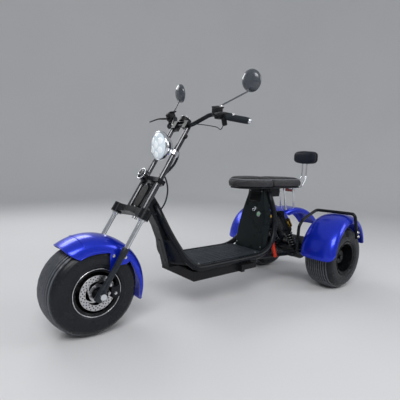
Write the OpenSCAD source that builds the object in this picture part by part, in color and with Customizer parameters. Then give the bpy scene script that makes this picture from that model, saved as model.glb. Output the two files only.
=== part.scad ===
// Electric tricycle with one steered front wheel and two rear wheels.
// +X is forward, +Y is the rider's left and +Z is up. The origin lies on the ground
// under the middle of the outline. All sizes are in millimetres.

/* [Wheels] */
// Distance between the front and the rear axle
wheelbase = 1680; // [1560:5:1800]
// Outer diameter of the three tyres
tyre_d = 455; // [435:1:475]
// Width of the tyres
tyre_w = 220; // [200:1:230]
// Diameter of the rim flanges
rim_d = 236; // [226:1:244]
// Distance between the middles of the rear tyres
rear_track = 680; // [660:2:760]
// Outer diameter of the front brake disc
disc_d = 174; // [160:1:176]
// Thickness of the brake disc
disc_t = 4; // [3:0.5:6]
// Diameter of the front axle
front_axle_d = 20; // [16:1:24]
// Diameter of the rear stub axles
rear_axle_d = 30; // [24:1:36]

/* [Fork] */
// Angle of the fork from the vertical
rake = 31.5; // [28:0.5:34]
// Distance between the fork legs
leg_gap = 284; // [276:2:310]
// Distance between the upright tubes above the fork
upright_gap = 144; // [136:2:160]
// Distance from the steering axis forward to the fork legs
fork_offset = 40; // [34:1:48]
// Diameter of the lower fork tubes
slider_d = 44; // [38:1:50]
// Diameter of the chromed inner fork tubes
stanchion_d = 30; // [26:1:34]
// Diameter of the upright tubes
upright_d = 34; // [28:1:38]
// Diameter of the steering stem
stem_d = 26; // [22:1:30]

/* [Handlebar] */
// Diameter of the handlebar tube
bar_d = 22; // [20:1:26]
// Half of the handlebar's width to the grip ends
bar_half_w = 360; // [330:2:390]
// Length of the grips
grip_l = 118; // [100:1:130]
// Diameter of the mirror heads
mirror_d = 108; // [90:1:120]
// Diameter of the headlamp glass
lamp_d = 150; // [130:1:160]

/* [Floor and seat] */
// Half of the floor's width to the middle of the side rails
floor_half_w = 170; // [150:1:185]
// Diameter of the side rails
rail_d = 36; // [30:1:42]
// Height of the side rails' middle over the ground along the floor
floor_z = 270; // [255:1:290]
// Height of the battery box under the floor
box_h = 56; // [40:1:80]
// Length of the seat
seat_l = 660; // [600:5:700]
// Greatest width of the seat
seat_w = 260; // [230:2:290]
// Height of the seat's underside over the ground
seat_z = 712; // [690:1:740]
// Thickness of the rider's part of the seat
seat_t = 74; // [60:1:90]
// Width of the backrest pad
back_w = 250; // [200:2:280]
// Height of the backrest pad
back_h = 115; // [90:1:140]

/* [Mudguards] */
// Sheet thickness of the mudguards
guard_t = 4; // [3:0.5:6]
// Gap between the tyres and the mudguards over the top
guard_gap = 42; // [34:1:52]
// Width of the front mudguard
front_guard_w = 232; // [224:2:234]
// Width of the rear mudguards
rear_guard_w = 276; // [262:2:290]
// Width of the middle mudguard
centre_guard_w = 170; // [150:2:176]

/* [Fits] */
// Radial clearance of the wheels and the stem on their shafts
run_gap = 0.03; // [0.02:0.01:0.08]
// Gap between pieces that are seated on each other
seat_gap = 0.2; // [0.1:0.05:0.3]

/* [Hidden] */
$fn = 64;

tyre_r = tyre_d / 2;
rim_r = rim_d / 2;

// Mudguard arcs, worked out from the tyre
rear_guard_lift = 24;
rear_guard_r = tyre_r + guard_gap - rear_guard_lift + 32;
rear_guard_ends = [4, 170];
rear_reach = -rear_guard_r * cos(rear_guard_ends[1]);

// Axle places: the outline runs from the front tyre to the rear mudguards
front_axle_x = (wheelbase + rear_reach - tyre_r) / 2;
rear_axle_x = front_axle_x - wheelbase;
rear_y = rear_track / 2;

// Stations along the fork, measured up the legs from the front axle
slider_top = 255;
clamp_low = 404;
clamp_high = 456;
head_low = 466;
head_high = 610;
yoke_low = 620;
yoke_high = 644;
bar_s = 966;
upright_n = -22;

function unit(v) = v / norm(v);
function up_fork(n, s) = [
    front_axle_x + n * cos(rake) - s * sin(rake),
    0,
    tyre_r + n * sin(rake) + s * cos(rake)
];

// Places a piece in the raked frame of the fork: x forward of the legs, z up the legs
module on_fork() {
    translate([front_axle_x, 0, tyre_r])
        rotate([0, -rake, 0])
            children();
}

// Places a piece that turns about a wheel axle, with its own Z along the axle
module on_axle(x, y = 0) {
    translate([x, y, tyre_r])
        rotate([-90, 0, 0])
            children();
}

// Makes a piece once for each side
module both_sides() {
    children();
    mirror([0, 1, 0])
        children();
}

// Straight round bar between two points
module rod(a, b, r) {
    d = b - a;
    translate(a)
        rotate([0, acos(d.z / norm(d)), atan2(d.y, d.x)])
            cylinder(h = norm(d), r = r);
}

// Tangent length of a bend of radius bend at point b between a and c
function bend_cut(a, b, c, bend) = bend * tan((180 - acos(unit(a - b) * unit(c - b))) / 2);

// Bends are a hair thicker than the straight stretches, which run a little way into them
bend_swell = 0.2;
bend_lap = 1.5;

// Round bend at point b of the line a, b, c
module elbow(a, b, c, bend, r) {
    u = unit(a - b);
    v = unit(c - b);
    inside = acos(u * v);
    middle = b + unit(u + v) * bend / sin(inside / 2);
    e1 = unit(b + u * bend_cut(a, b, c, bend) - middle);
    n = cross(e1, -u);
    e2 = cross(n, e1);
    multmatrix([
        [e1.x, e2.x, n.x, middle.x],
        [e1.y, e2.y, n.y, middle.y],
        [e1.z, e2.z, n.z, middle.z],
        [0, 0, 0, 1]
    ])
        rotate_extrude(angle = 180 - inside)
            translate([bend, 0])
                circle(r + bend_swell);
}

// Bent tube along points with one bend radius for each inner point
module bent_tube(points, bends, r) {
    last = len(points) - 1;
    cut = [for (i = [0:last]) i == 0 || i == last ? 0
        : bend_cut(points[i - 1], points[i], points[i + 1], bends[i - 1]) - bend_lap];
    for (i = [0:last - 1]) {
        d = unit(points[i + 1] - points[i]);
        rod(points[i] + d * cut[i], points[i + 1] - d * cut[i + 1], r);
    }
    for (i = [1:last - 1])
        elbow(points[i - 1], points[i], points[i + 1], bends[i - 1], r);
}

// Arc of sheet about an axle: radius, width, from and to angle, skirt depth at both edges
module guard_arc(r, w, from, to, skirt) {
    rotate_extrude(angle = to - from, start = from, $fn = 128)
        polygon([
            [r - guard_t, -w * 0.30], [r - guard_t, w * 0.30],
            [r - skirt * 0.30, w / 2 - guard_t], [r - skirt, w / 2 - guard_t],
            [r - skirt, w / 2], [r - skirt * 0.22, w / 2],
            [r, w * 0.34], [r, -w * 0.34],
            [r - skirt * 0.22, -w / 2], [r - skirt, -w / 2],
            [r - skirt, -w / 2 + guard_t], [r - skirt * 0.30, -w / 2 + guard_t]
        ]);
}

// Frame
frame_rail = [
    [front_axle_x - 345, 36, 628],
    [front_axle_x - 380, 150, 452],
    [front_axle_x - 535, floor_half_w, floor_z],
    [front_axle_x - 1050, floor_half_w, floor_z],
    [front_axle_x - 1205, floor_half_w - 4, 400],
    [front_axle_x - 1218, 146, 490],
    [front_axle_x - 1170, 94, seat_z - 32]
];
rail_bends = [120, 120, 160, 90, 120];
neck_half_w = 38;
head_d = 54;
floor_t = 12;
floor_top = floor_z + 8;
floor_rear_x = front_axle_x - 1204;

module main_frame() {
    color([0.03, 0.03, 0.035]) {
        difference() {
            union() {
                on_fork()
                    translate([-fork_offset, 0, head_low])
                        cylinder(h = head_high - head_low, d = head_d);
                both_sides()
                    bent_tube(frame_rail, rail_bends, rail_d / 2);
                neck_beam();
                translate([front_axle_x - 1050, -floor_half_w, floor_top - floor_t])
                    cube([500, 2 * floor_half_w, floor_t]);
                translate([floor_rear_x, -floor_half_w + 30, floor_top - floor_t])
                    cube([front_axle_x - 1050 - floor_rear_x + 10, 2 * floor_half_w - 60, floor_t]);
            }
            on_fork()
                translate([-fork_offset, 0, head_low - 1])
                    cylinder(h = head_high - head_low + 2, d = stem_d + 2 * run_gap);
        }
    }
}

// Box beam from the head tube down to the front of the floor
module neck_beam() {
    top = up_fork(-fork_offset - 12, 560);
    low = up_fork(-fork_offset - 12, head_low + 28);
    translate([0, neck_half_w, 0])
        rotate([90, 0, 0])
            linear_extrude(2 * neck_half_w)
                polygon([
                    [top.x, top.z], [low.x, low.z],
                    [front_axle_x - 428, floor_z + 30], [front_axle_x - 440, floor_z - 10],
                    [front_axle_x - 545, floor_z - 10], [front_axle_x - 500, floor_z + 40],
                    [front_axle_x - 392, 600]
                ]);
}

module neck_shield() {
    color([0.04, 0.04, 0.05])
        on_fork()
            translate([-fork_offset + head_d / 2 + seat_gap, 0, head_low])
                rotate([90, 0, 90])
                    linear_extrude(6)
                        polygon([
                            [-30, 4], [30, 4], [32, 90], [24, 128], [10, 140],
                            [-10, 140], [-24, 128], [-32, 90]
                        ]);
}

box_top = floor_z - rail_d / 2 - seat_gap;

module floor_box() {
    color([0.05, 0.05, 0.055])
        translate([front_axle_x - 1045, -floor_half_w + 6, box_top - box_h])
            cube([512, 2 * floor_half_w - 12, box_h]);
}

module floor_mat() {
    mat_half = floor_half_w - rail_d / 2 - 4;
    color([0.07, 0.09, 0.12])
        translate([front_axle_x - 1112, -mat_half, floor_top + seat_gap])
            cube([540, 2 * mat_half, 8]);
}

// Seat pillar: a tapered hollow-looking box between the rising side rails
pillar_low = floor_top + seat_gap;
pillar_top = seat_z - 6;
pillar_half_low = 124;
pillar_half_top = 66;
pillar_lean = 8;
pillar_depth = 66;

// Point in the pillar's leaning frame: ahead of its front face, to the left and up along it
pillar_x = front_axle_x - 1130;
function at_pillar(ahead, left, up) = [
    pillar_x + ahead * cos(pillar_lean) - up * sin(pillar_lean),
    left,
    pillar_low + ahead * sin(pillar_lean) + up * cos(pillar_lean)
];

module on_pillar() {
    translate([pillar_x, 0, pillar_low])
        rotate([0, -pillar_lean, 0])
            children();
}

module seat_pillar() {
    color([0.04, 0.05, 0.06])
        difference() {
            on_pillar()
                rotate([90, 0, -90])
                    linear_extrude(pillar_depth)
                        polygon([
                            [-pillar_half_low, -1], [pillar_half_low, -1],
                            [pillar_half_low - 4, 150],
                            [pillar_half_top, pillar_top - pillar_low],
                            [-pillar_half_top, pillar_top - pillar_low],
                            [-pillar_half_low + 4, 150]
                        ]);
            translate([pillar_x - 200, -200, pillar_low - 40])
                cube([400, 400, 40]);
        }
}

module pillar_fittings() {
    color([0.7, 0.7, 0.72])
        on_pillar() {
            translate([seat_gap, 20, 285])
                rotate([0, 90, 0])
                    cylinder(h = 8, d = 24);
            translate([seat_gap, 58, 250])
                rotate([0, 90, 0])
                    cylinder(h = 7, d = 34);
        }
}

// Seat
seat_front_x = front_axle_x - 942;
seat_pan_t = 10;

module seat_plan(w, l) {
    polygon([
        [0, -w * 0.22], [0, w * 0.22], [-l * 0.07, w * 0.38], [-l * 0.24, w * 0.5],
        [-l * 0.42, w * 0.5], [-l * 0.56, w * 0.42], [-l * 0.96, w * 0.40], [-l, w * 0.32],
        [-l, -w * 0.32], [-l * 0.96, -w * 0.40], [-l * 0.56, -w * 0.42], [-l * 0.42, -w * 0.5],
        [-l * 0.24, -w * 0.5], [-l * 0.07, -w * 0.38]
    ]);
}

module seat_pan() {
    color([0.05, 0.05, 0.055])
        translate([seat_front_x - 40, 0, seat_z - seat_pan_t])
            linear_extrude(seat_pan_t)
                seat_plan(seat_w - 50, seat_l - 60);
}

module seat() {
    color([0.06, 0.06, 0.07])
        translate([seat_front_x, 0, seat_z + seat_gap])
            intersection() {
                linear_extrude(seat_t + 20)
                    seat_plan(seat_w, seat_l);
                translate([0, seat_w, 0])
                    rotate([90, 0, 0])
                        linear_extrude(2 * seat_w)
                            polygon([
                                [0, 0], [0, 30], [-30, seat_t - 22], [-90, seat_t - 6],
                                [-200, seat_t - 2], [-270, seat_t + 14], [-290, seat_t + 4],
                                [-310, seat_t - 10], [-seat_l + 30, seat_t - 12],
                                [-seat_l, seat_t - 26], [-seat_l, 0]
                            ]);
            }
}

back_x = seat_front_x - seat_l - 118;
back_z = 935;
post_y = 46;
post_r = 8;

back_lean = 10;
post_back = post_r + bend_swell + seat_gap;
post_z = seat_z - seat_pan_t - post_r - bend_swell - seat_gap;

// Point beside the pad's back face: across it and up along it
function at_pad(across, up) = [
    back_x + across * cos(back_lean) - up * sin(back_lean),
    post_y,
    back_z + across * sin(back_lean) + up * cos(back_lean)
];

module backrest_posts() {
    color([0.8, 0.8, 0.82])
        both_sides()
            bent_tube([
                [seat_front_x - seat_l + 90, post_y, post_z],
                [seat_front_x - seat_l - 14, post_y, post_z],
                at_pad(-post_back, -back_h / 2 - 34),
                at_pad(-post_back, back_h * 0.3)
            ], [34, 60], post_r);
}

module backrest_pad() {
    color([0.05, 0.055, 0.065])
        translate([back_x, 0, back_z])
            rotate([0, -back_lean, 0])
                rotate([90, 0, 90])
                    linear_extrude(58)
                        polygon([
                            [-back_w / 2, 0], [-back_w * 0.40, -back_h * 0.42],
                            [-back_w * 0.28, -back_h / 2], [back_w * 0.28, -back_h / 2],
                            [back_w * 0.40, -back_h * 0.42], [back_w / 2, 0],
                            [back_w * 0.40, back_h * 0.42], [back_w * 0.28, back_h / 2],
                            [-back_w * 0.28, back_h / 2], [-back_w * 0.40, back_h * 0.42]
                        ]);
}

module underseat_box() {
    color([0.05, 0.05, 0.05])
        translate([seat_front_x - 424, -60, seat_z - seat_pan_t - seat_gap - 60])
            cube([110, 120, 60]);
}

// Middle mudguard over the axle
centre_r = 400;
centre_x = front_axle_x - 1560;
centre_z = 153;
strut_r = 7;
strut_y = 64;

foot_r = 9;
foot_h = 14;
// Each strut: place under the seat and place on the mudguard, both behind the seat's front
strut_places = [[-seat_l + 190, -seat_l + 155], [-seat_l + 82, -seat_l + 60]];

// Height of the middle mudguard's crown at x, at the higher edge of a strut's foot
function crown_z(x) = centre_z
    + sqrt(pow(centre_r, 2) - pow(max(abs(x - centre_x) - foot_r, 0), 2)) + seat_gap;

module seat_struts() {
    color([0.8, 0.8, 0.82])
        both_sides()
            for (place = strut_places) {
                top = [seat_front_x + place[0], strut_y, seat_z - seat_pan_t - seat_gap - foot_h];
                low = [seat_front_x + place[1], strut_y, crown_z(seat_front_x + place[1])];
                translate(top)
                    cylinder(h = foot_h, r = foot_r);
                translate(low)
                    cylinder(h = foot_h, r = foot_r);
                rod(top + [0, 0, foot_h / 2], low + [0, 0, foot_h / 2], strut_r);
            }
}

module centre_guard() {
    color([0.02, 0.05, 0.75])
        translate([centre_x, 0, centre_z])
            rotate([90, 0, 0])
                guard_arc(centre_r, centre_guard_w, 70, 142, 40);
}

// Rear axle and the frame that carries it
axle_tube_r = 28;
hub_half = 58;
stub_end = rear_y + 70;
shock_y = 84;
shock_low = [rear_axle_x + 118, shock_y, 238];
shock_high = [rear_axle_x + 312, shock_y, 516];
low_cross_r = 12;
high_cross_r = 16;

module rear_axle() {
    inner = rear_y - hub_half - 5;
    color([0.05, 0.05, 0.055])
        on_axle(rear_axle_x) {
            translate([0, 0, -inner])
                cylinder(h = 2 * inner, r = axle_tube_r);
            translate([0, 0, -66])
                cylinder(h = 132, r = 88);
            translate([0, 0, -stub_end])
                cylinder(h = 2 * stub_end, d = rear_axle_d);
        }
}

module rear_subframe() {
    color([0.04, 0.04, 0.045]) {
        both_sides() {
            bent_tube([
                [front_axle_x - 1046, 120, floor_top - floor_t - 15 - bend_swell - seat_gap],
                [rear_axle_x + 190, 120, 222],
                [rear_axle_x + 60, 120, tyre_r - 2]
            ], [120], 15);
            translate([rear_axle_x, 105, tyre_r])
                rotate([-90, 0, 0])
                    difference() {
                        cylinder(h = 30, r = axle_tube_r + 34);
                        translate([0, 0, -1])
                            cylinder(h = 32, r = axle_tube_r + seat_gap);
                    }
            for (brace = [[330, 13], [150, 11]])
                rod(at_pillar(-pillar_depth - seat_gap - plate_t + 6, 44, brace[0]),
                    [shock_high.x, 50, shock_high.z], brace[1]);
        }
        on_pillar()
            translate([-pillar_depth - seat_gap - plate_t, -62, 120])
                cube([plate_t, 124, 240]);
        translate([shock_high.x, -shock_y - 16, shock_high.z])
            rotate([-90, 0, 0])
                cylinder(h = 2 * shock_y + 32, r = high_cross_r);
        translate([shock_low.x, -120, shock_low.z])
            rotate([-90, 0, 0])
                cylinder(h = 240, r = low_cross_r);
    }
}

// Spring dampers
plate_t = 14;
eye_w = 24;
damper_r = 19;
spring_r = 29;
wire_r = 4;
spring_turns = 6;
shock_dir = unit(shock_high - shock_low);
shock_len = norm(shock_high - shock_low);

module along_shock() {
    d = shock_dir;
    translate(shock_low)
        rotate([0, acos(d.z), atan2(d.y, d.x)])
            children();
}

module shock_dampers() {
    color([0.06, 0.06, 0.065])
        both_sides() {
            shock_eye(shock_low, low_cross_r);
            shock_eye(shock_high, high_cross_r);
            along_shock() {
                translate([0, 0, low_cross_r + 4])
                    cylinder(h = shock_len - low_cross_r - high_cross_r - 8, r = damper_r);
                translate([0, 0, spring_low - 8])
                    cylinder(h = 8, r = spring_r + 6);
                translate([0, 0, spring_high])
                    cylinder(h = 8, r = spring_r + 6);
            }
        }
}

// Ring of a damper round its cross tube
module shock_eye(at, r) {
    translate(at - [0, eye_w / 2, 0])
        rotate([-90, 0, 0])
            difference() {
                cylinder(h = eye_w, r = r + 9);
                translate([0, 0, -1])
                    cylinder(h = eye_w + 2, r = r + seat_gap);
            }
}

spring_low = 38;
spring_high = 186;
turn_steps = 14;
wire_sides = 6;

// Ring of points round the wire at one step along the coil
function coil_ring(i) = let (
    a = 360 * i / turn_steps,
    rise = (spring_high - spring_low - 2 * wire_r - 2 * seat_gap) * i / (turn_steps * spring_turns)
) [for (j = [0:wire_sides - 1]) let (b = 360 * j / wire_sides, r = spring_r + wire_r * cos(b))
    [r * cos(a), r * sin(a), spring_low + wire_r + seat_gap + rise + wire_r * sin(b)]];

// Coil of round wire with flat ends
module coil() {
    rings = turn_steps * spring_turns;
    points = [for (i = [0:rings]) each coil_ring(i)];
    sides = [for (i = [0:rings - 1], j = [0:wire_sides - 1]) let (k = (j + 1) % wire_sides) [
        i * wire_sides + j, (i + 1) * wire_sides + j, (i + 1) * wire_sides + k, i * wire_sides + k
    ]];
    low_end = [for (j = [0:wire_sides - 1]) j];
    high_end = [for (j = [wire_sides - 1:-1:0]) rings * wire_sides + j];
    polyhedron(points, concat([low_end], sides, [high_end]));
}

module shock_springs() {
    color([0.04, 0.04, 0.045])
        both_sides()
            along_shock()
                coil();
}

module shock_reservoirs() {
    color([0.85, 0.55, 0.05])
        both_sides()
            along_shock()
                translate([-damper_r - 19 - seat_gap, 0, spring_high + 8 + seat_gap])
                    cylinder(h = 60, r = 19);
}

// Rear mudguards and the hoops that hold them
guard_mid_y = rear_y + 24;

module rear_guard(side) {
    color([0.02, 0.05, 0.75])
        translate([rear_axle_x, side * guard_mid_y, tyre_r + rear_guard_lift])
            rotate([90, 0, 0])
                guard_arc(rear_guard_r, rear_guard_w, rear_guard_ends[0], rear_guard_ends[1], 52);
}

module rear_guard_left() {
    rear_guard(1);
}

module rear_guard_right() {
    rear_guard(-1);
}

hoop_r = 11;

module guard_hoops() {
    top = tyre_r + rear_guard_lift + rear_guard_r + hoop_r + bend_swell + seat_gap;
    inner = guard_mid_y - rear_guard_w / 2 - hoop_r - 3;
    outer = guard_mid_y + rear_guard_w / 2 + hoop_r + 3;
    color([0.03, 0.03, 0.035])
        both_sides()
            bent_tube([
                [rear_axle_x, inner, tyre_r + axle_tube_r + seat_gap],
                [rear_axle_x, inner, tyre_r + axle_tube_r + 60],
                [rear_axle_x + 100, inner, top],
                [rear_axle_x - 10, outer, top],
                [rear_axle_x - 44, outer, top - 130]
            ], [60, 26, 26], hoop_r);
}

module foot_pegs() {
    color([0.05, 0.05, 0.055])
        both_sides() {
            translate([front_axle_x - 905, floor_half_w - 6 + seat_gap, box_top - box_h + 4])
                cube([26, 34, 44]);
            translate([front_axle_x - 990, floor_half_w - 6 + seat_gap, box_top - box_h + 16])
                cube([85, 34, 30]);
        }
}

module red_pegs() {
    color([0.8, 0.1, 0.05])
        both_sides()
            rod([front_axle_x - 1255, 149.5, 236], [front_axle_x - 1205, 153, 352], 14);
}

module tail_lamp() {
    color([0.6, 0.02, 0.02])
        translate([seat_front_x - seat_l + 26, -35, seat_z - seat_pan_t - seat_gap - 34])
            cube([24, 70, 34]);
}

// Fork
leg_y = leg_gap / 2;
upright_y = upright_gap / 2;

module fork_sliders() {
    color([0.08, 0.08, 0.085])
        on_fork()
            both_sides()
                difference() {
                    union() {
                        translate([0, leg_y, -34])
                            cylinder(h = slider_top + 34, d = slider_d);
                        translate([0, leg_y, slider_top])
                            cylinder(h = 10, d = slider_d + 4);
                    }
                    translate([0, leg_y, slider_top - 60])
                        cylinder(h = 80, d = stanchion_d + 2 * seat_gap);
                    translate([0, leg_y - slider_d, 0])
                        rotate([-90, 0, 0])
                            cylinder(h = 2 * slider_d, d = front_axle_d + 2 * seat_gap);
                }
}

module fork_stanchions() {
    color([0.85, 0.85, 0.87])
        on_fork()
            both_sides()
                translate([0, leg_y, slider_top - 60 + seat_gap])
                    cylinder(h = clamp_high + 4 - slider_top + 60, d = stanchion_d);
}

// Lower clamp: a bowed beam between two leg collars, seen from above and from the front
clamp_plan = [
    [-fork_offset - 20, 22], [upright_n - 24, upright_y], [-24, leg_y], [22, leg_y], [8, 60]
];
clamp_front = [
    [0, clamp_low + 24], [70, clamp_low + 16], [leg_y, clamp_low + 2],
    [leg_y, clamp_high - 2], [70, clamp_high], [0, clamp_high + 4]
];
clamp_collar_r = 30;

// Closes the left half of an outline with its mirror image; axis 0 is along, 1 is across
function across_both(half) = concat(half, [for (i = [len(half) - 1:-1:0]) [half[i][0], -half[i][1]]]);
function beside_both(half) = concat(half, [for (i = [len(half) - 1:-1:0]) [-half[i][0], half[i][1]]]);

module lower_clamp() {
    color([0.05, 0.05, 0.055])
        on_fork()
            difference() {
                union() {
                    intersection() {
                        translate([0, 0, clamp_low])
                            linear_extrude(clamp_high - clamp_low + 8)
                                polygon(across_both(clamp_plan));
                        translate([-fork_offset - 40, 0, 0])
                            rotate([90, 0, 90])
                                linear_extrude(120)
                                    polygon(beside_both(clamp_front));
                    }
                    for (side = [-1, 1])
                        translate([0, side * leg_y, clamp_low])
                            cylinder(h = clamp_high - clamp_low, r = clamp_collar_r);
                }
                for (side = [-1, 1])
                    translate([0, side * leg_y, clamp_low - 1])
                        cylinder(h = clamp_high - clamp_low + 2, d = stanchion_d + 2 * seat_gap);
                for (side = [-1, 1])
                    translate([upright_n, side * upright_y, clamp_low + 30])
                        cylinder(h = clamp_high - clamp_low, d = upright_d + 2 * seat_gap);
                translate([-fork_offset, 0, clamp_low - 1])
                    cylinder(h = clamp_high - clamp_low + 12, d = stem_d + 2 * seat_gap);
            }
}

module uprights() {
    color([0.35, 0.36, 0.38])
        on_fork()
            both_sides() {
                translate([upright_n, upright_y, clamp_low + 30 + seat_gap])
                    cylinder(h = yoke_high - clamp_low - 30, d = upright_d);
                translate([upright_n, upright_y, yoke_high + seat_gap])
                    cylinder(h = bar_s - yoke_high - seat_gap, d = upright_d - 8);
            }
}

module upper_yoke() {
    color([0.05, 0.05, 0.055])
        on_fork()
            translate([0, 0, yoke_low])
                difference() {
                    linear_extrude(yoke_high - yoke_low)
                        polygon([
                            [-fork_offset - 24, -40], [-fork_offset - 24, 40],
                            [upright_n - 24, upright_y + 24], [upright_n + 24, upright_y + 24],
                            [upright_n + 28, 0], [upright_n + 24, -upright_y - 24],
                            [upright_n - 24, -upright_y - 24]
                        ]);
                    for (side = [-1, 1])
                        translate([upright_n, side * upright_y, -1])
                            cylinder(h = yoke_high - yoke_low + 2, d = upright_d + 2 * seat_gap);
                    translate([-fork_offset, 0, -1])
                        cylinder(h = yoke_high - yoke_low + 2, d = stem_d + 2 * seat_gap);
                }
}

module steering_stem() {
    color([0.5, 0.5, 0.52])
        on_fork()
            translate([-fork_offset, 0, clamp_low])
                cylinder(h = yoke_high + 6 - clamp_low, d = stem_d);
}

// Handlebar
bar_mid = up_fork(upright_n, bar_s + 26);
bar_points = [
    [bar_mid.x, 0, bar_mid.z],
    [bar_mid.x, 92, bar_mid.z],
    [bar_mid.x - 72, 168, bar_mid.z + 62],
    [bar_mid.x - 158, bar_half_w, bar_mid.z + 26]
];
grip_dir = unit(bar_points[3] - bar_points[2]);

module handlebar() {
    color([0.12, 0.12, 0.13])
        both_sides()
            bent_tube(bar_points, [50, 60], bar_d / 2);
}

module bar_clamp() {
    color([0.06, 0.06, 0.065])
        on_fork()
            difference() {
                union() {
                    for (side = [-1, 1])
                        translate([upright_n - 18, side * (upright_y - 22) - 16, bar_s + seat_gap])
                            cube([36, 32, 46]);
                    translate([upright_n - 18, -upright_y + 22, bar_s + 40])
                        cube([36, 2 * upright_y - 44, 8]);
                }
                translate([upright_n, -150, bar_s + 26])
                    rotate([-90, 0, 0])
                        cylinder(h = 300, d = bar_d + 2 * seat_gap);
            }
}

module grips() {
    color([0.06, 0.06, 0.07])
        both_sides()
            difference() {
                rod(bar_points[3] - grip_dir * grip_l, bar_points[3] + grip_dir * 6, 17);
                rod(bar_points[3] - grip_dir * (grip_l + 1), bar_points[3] + grip_dir * 0.2,
                    bar_d / 2 + seat_gap);
            }
}

module brake_controls() {
    perch = bar_points[3] - grip_dir * (grip_l + 34);
    color([0.05, 0.05, 0.055])
        both_sides() {
            difference() {
                translate(perch + [-14, -26, -18])
                    cube([48, 44, 52]);
                rod(perch - grip_dir * 80, perch + grip_dir * 80, bar_d / 2 + seat_gap);
            }
            rod(perch + [34, 2, 2], bar_points[3] + [78, 6, -4], 6);
        }
}

mirror_at = [front_axle_x - 752, 320, 1303];

module mirrors() {
    perch = bar_points[3] - grip_dir * (grip_l + 34);
    color([0.1, 0.11, 0.13])
        both_sides() {
            translate(perch + [4, -4, 34 + seat_gap])
                cylinder(h = 14, r = 8);
            rod(perch + [4, -4, 42], mirror_at + [6, -8, -40], 4);
            translate(mirror_at)
                rotate([0, -82, 0])
                    difference() {
                        sphere(d = mirror_d);
                        translate([-mirror_d, -mirror_d, 2])
                            cube(2 * mirror_d);
                        translate([-mirror_d, -mirror_d, -2 * mirror_d - 24])
                            cube(2 * mirror_d);
                    }
        }
}

module mirror_glass() {
    color([0.7, 0.75, 0.8])
        both_sides()
            translate(mirror_at)
                rotate([0, -82, 0])
                    translate([0, 0, 2 + seat_gap])
                        cylinder(h = 2, d = mirror_d - 8);
}

// Lamp, horn and dial
lamp_at = up_fork(36, 815);

lamp_bar_s = 806;
ring_r = upright_d / 2 + 3;
thin_d = upright_d - 8;

module headlamp_bucket() {
    color([0.8, 0.82, 0.85]) {
        on_fork() {
            translate([4, -upright_y, lamp_bar_s])
                rotate([-90, 0, 0])
                    cylinder(h = upright_gap, r = 7);
            both_sides()
                translate([upright_n, upright_y, lamp_bar_s - 12])
                    difference() {
                        cylinder(h = 24, r = ring_r + 6);
                        translate([0, 0, -1])
                            cylinder(h = 26, d = thin_d + 2 * seat_gap);
                    }
        }
        translate(lamp_at)
            rotate([0, 90, 0])
                rotate_extrude()
                    polygon([
                        [0, -72], [26, -70], [48, -52], [64, -30], [lamp_d / 2, -8],
                        [lamp_d / 2, 0], [lamp_d / 2 - 5, 0], [lamp_d / 2 - 5, -8], [0, -8]
                    ]);
    }
}

module headlamp_glass() {
    color([0.85, 0.9, 0.95])
        translate(lamp_at)
            rotate([0, 90, 0])
                rotate_extrude()
                    polygon([
                        [0, -8 + seat_gap], [lamp_d / 2 - 5 - seat_gap, -8 + seat_gap],
                        [lamp_d / 2 - 5 - seat_gap, 2], [lamp_d * 0.34, 9], [lamp_d * 0.16, 13], [0, 14]
                    ]);
}

module horn() {
    color([0.75, 0.75, 0.77])
        on_fork()
            translate([upright_n + 28 + seat_gap, -28, yoke_high - 6])
                rotate([0, 90, 0])
                    cylinder(h = 30, r = 30);
}

module dial() {
    color([0.1, 0.1, 0.11])
        on_fork()
            translate([upright_n - 4, 0, bar_s + 48 + seat_gap])
                cylinder(h = 26, r = 32);
}

module front_guard() {
    color([0.02, 0.05, 0.75])
        on_axle(front_axle_x)
            mirror([0, 1, 0])
                guard_arc(tyre_r + guard_gap, front_guard_w, 58, 204, 46);
    boss_from = front_guard_w / 2 - guard_t / 2;
    color([0.02, 0.05, 0.75])
        on_fork()
            both_sides()
                translate([0, boss_from, slider_top - 20])
                    rotate([-90, 0, 0])
                        cylinder(h = leg_y - slider_d / 2 - seat_gap - boss_from, r = 12);
}

module front_axle() {
    color([0.75, 0.75, 0.77])
        on_axle(front_axle_x) {
            translate([0, 0, -leg_y - slider_d / 2 - 6])
                cylinder(h = leg_gap + slider_d + 12, d = front_axle_d);
            for (side = [-1, 1])
                translate([0, 0, side * (leg_y + slider_d / 2 + 7) - 6])
                    cylinder(h = 12, d = 30);
        }
}

disc_y = 106;
caliper_gap = 5;

module brake_caliper() {
    color([0.06, 0.06, 0.065])
        on_axle(front_axle_x)
            rotate([0, 0, 182]) {
                difference() {
                    translate([56, -26, disc_y - 18])
                        cube([disc_d / 2 + caliper_gap + 4 - 56, 52, 58]);
                    translate([0, 0, disc_y - disc_t / 2 - caliper_gap])
                        cylinder(h = disc_t + 2 * caliper_gap, d = disc_d + 2 * caliper_gap);
                }
                translate([0, 0, disc_y + disc_t / 2 + caliper_gap])
                    linear_extrude(leg_y - slider_d / 2 - seat_gap - disc_y - disc_t / 2 - caliper_gap)
                        polygon([[56, 4], [56, 20], [44, 50], [20, 60], [36, 20]]);
            }
}

// Wheels: profiles turned about the axle, radius first and width second
bead_r = rim_r - 11;
tyre_mid_r = (tyre_r + bead_r) / 2;
tyre_round = tyre_w / 2 + 2;

// Half width of the tyre at radius r
function tyre_half(r) = sqrt(pow(tyre_round, 2) - pow(r - tyre_mid_r, 2));
bead_half = tyre_half(bead_r) + 1;
flange_half = tyre_half(rim_r) + 2;

module tyre() {
    rotate_extrude($fn = 96)
        intersection() {
            translate([bead_r, -tyre_w / 2])
                square([tyre_r - bead_r, tyre_w]);
            translate([tyre_mid_r, 0])
                circle(tyre_round, $fn = 96);
        }
}

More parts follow.
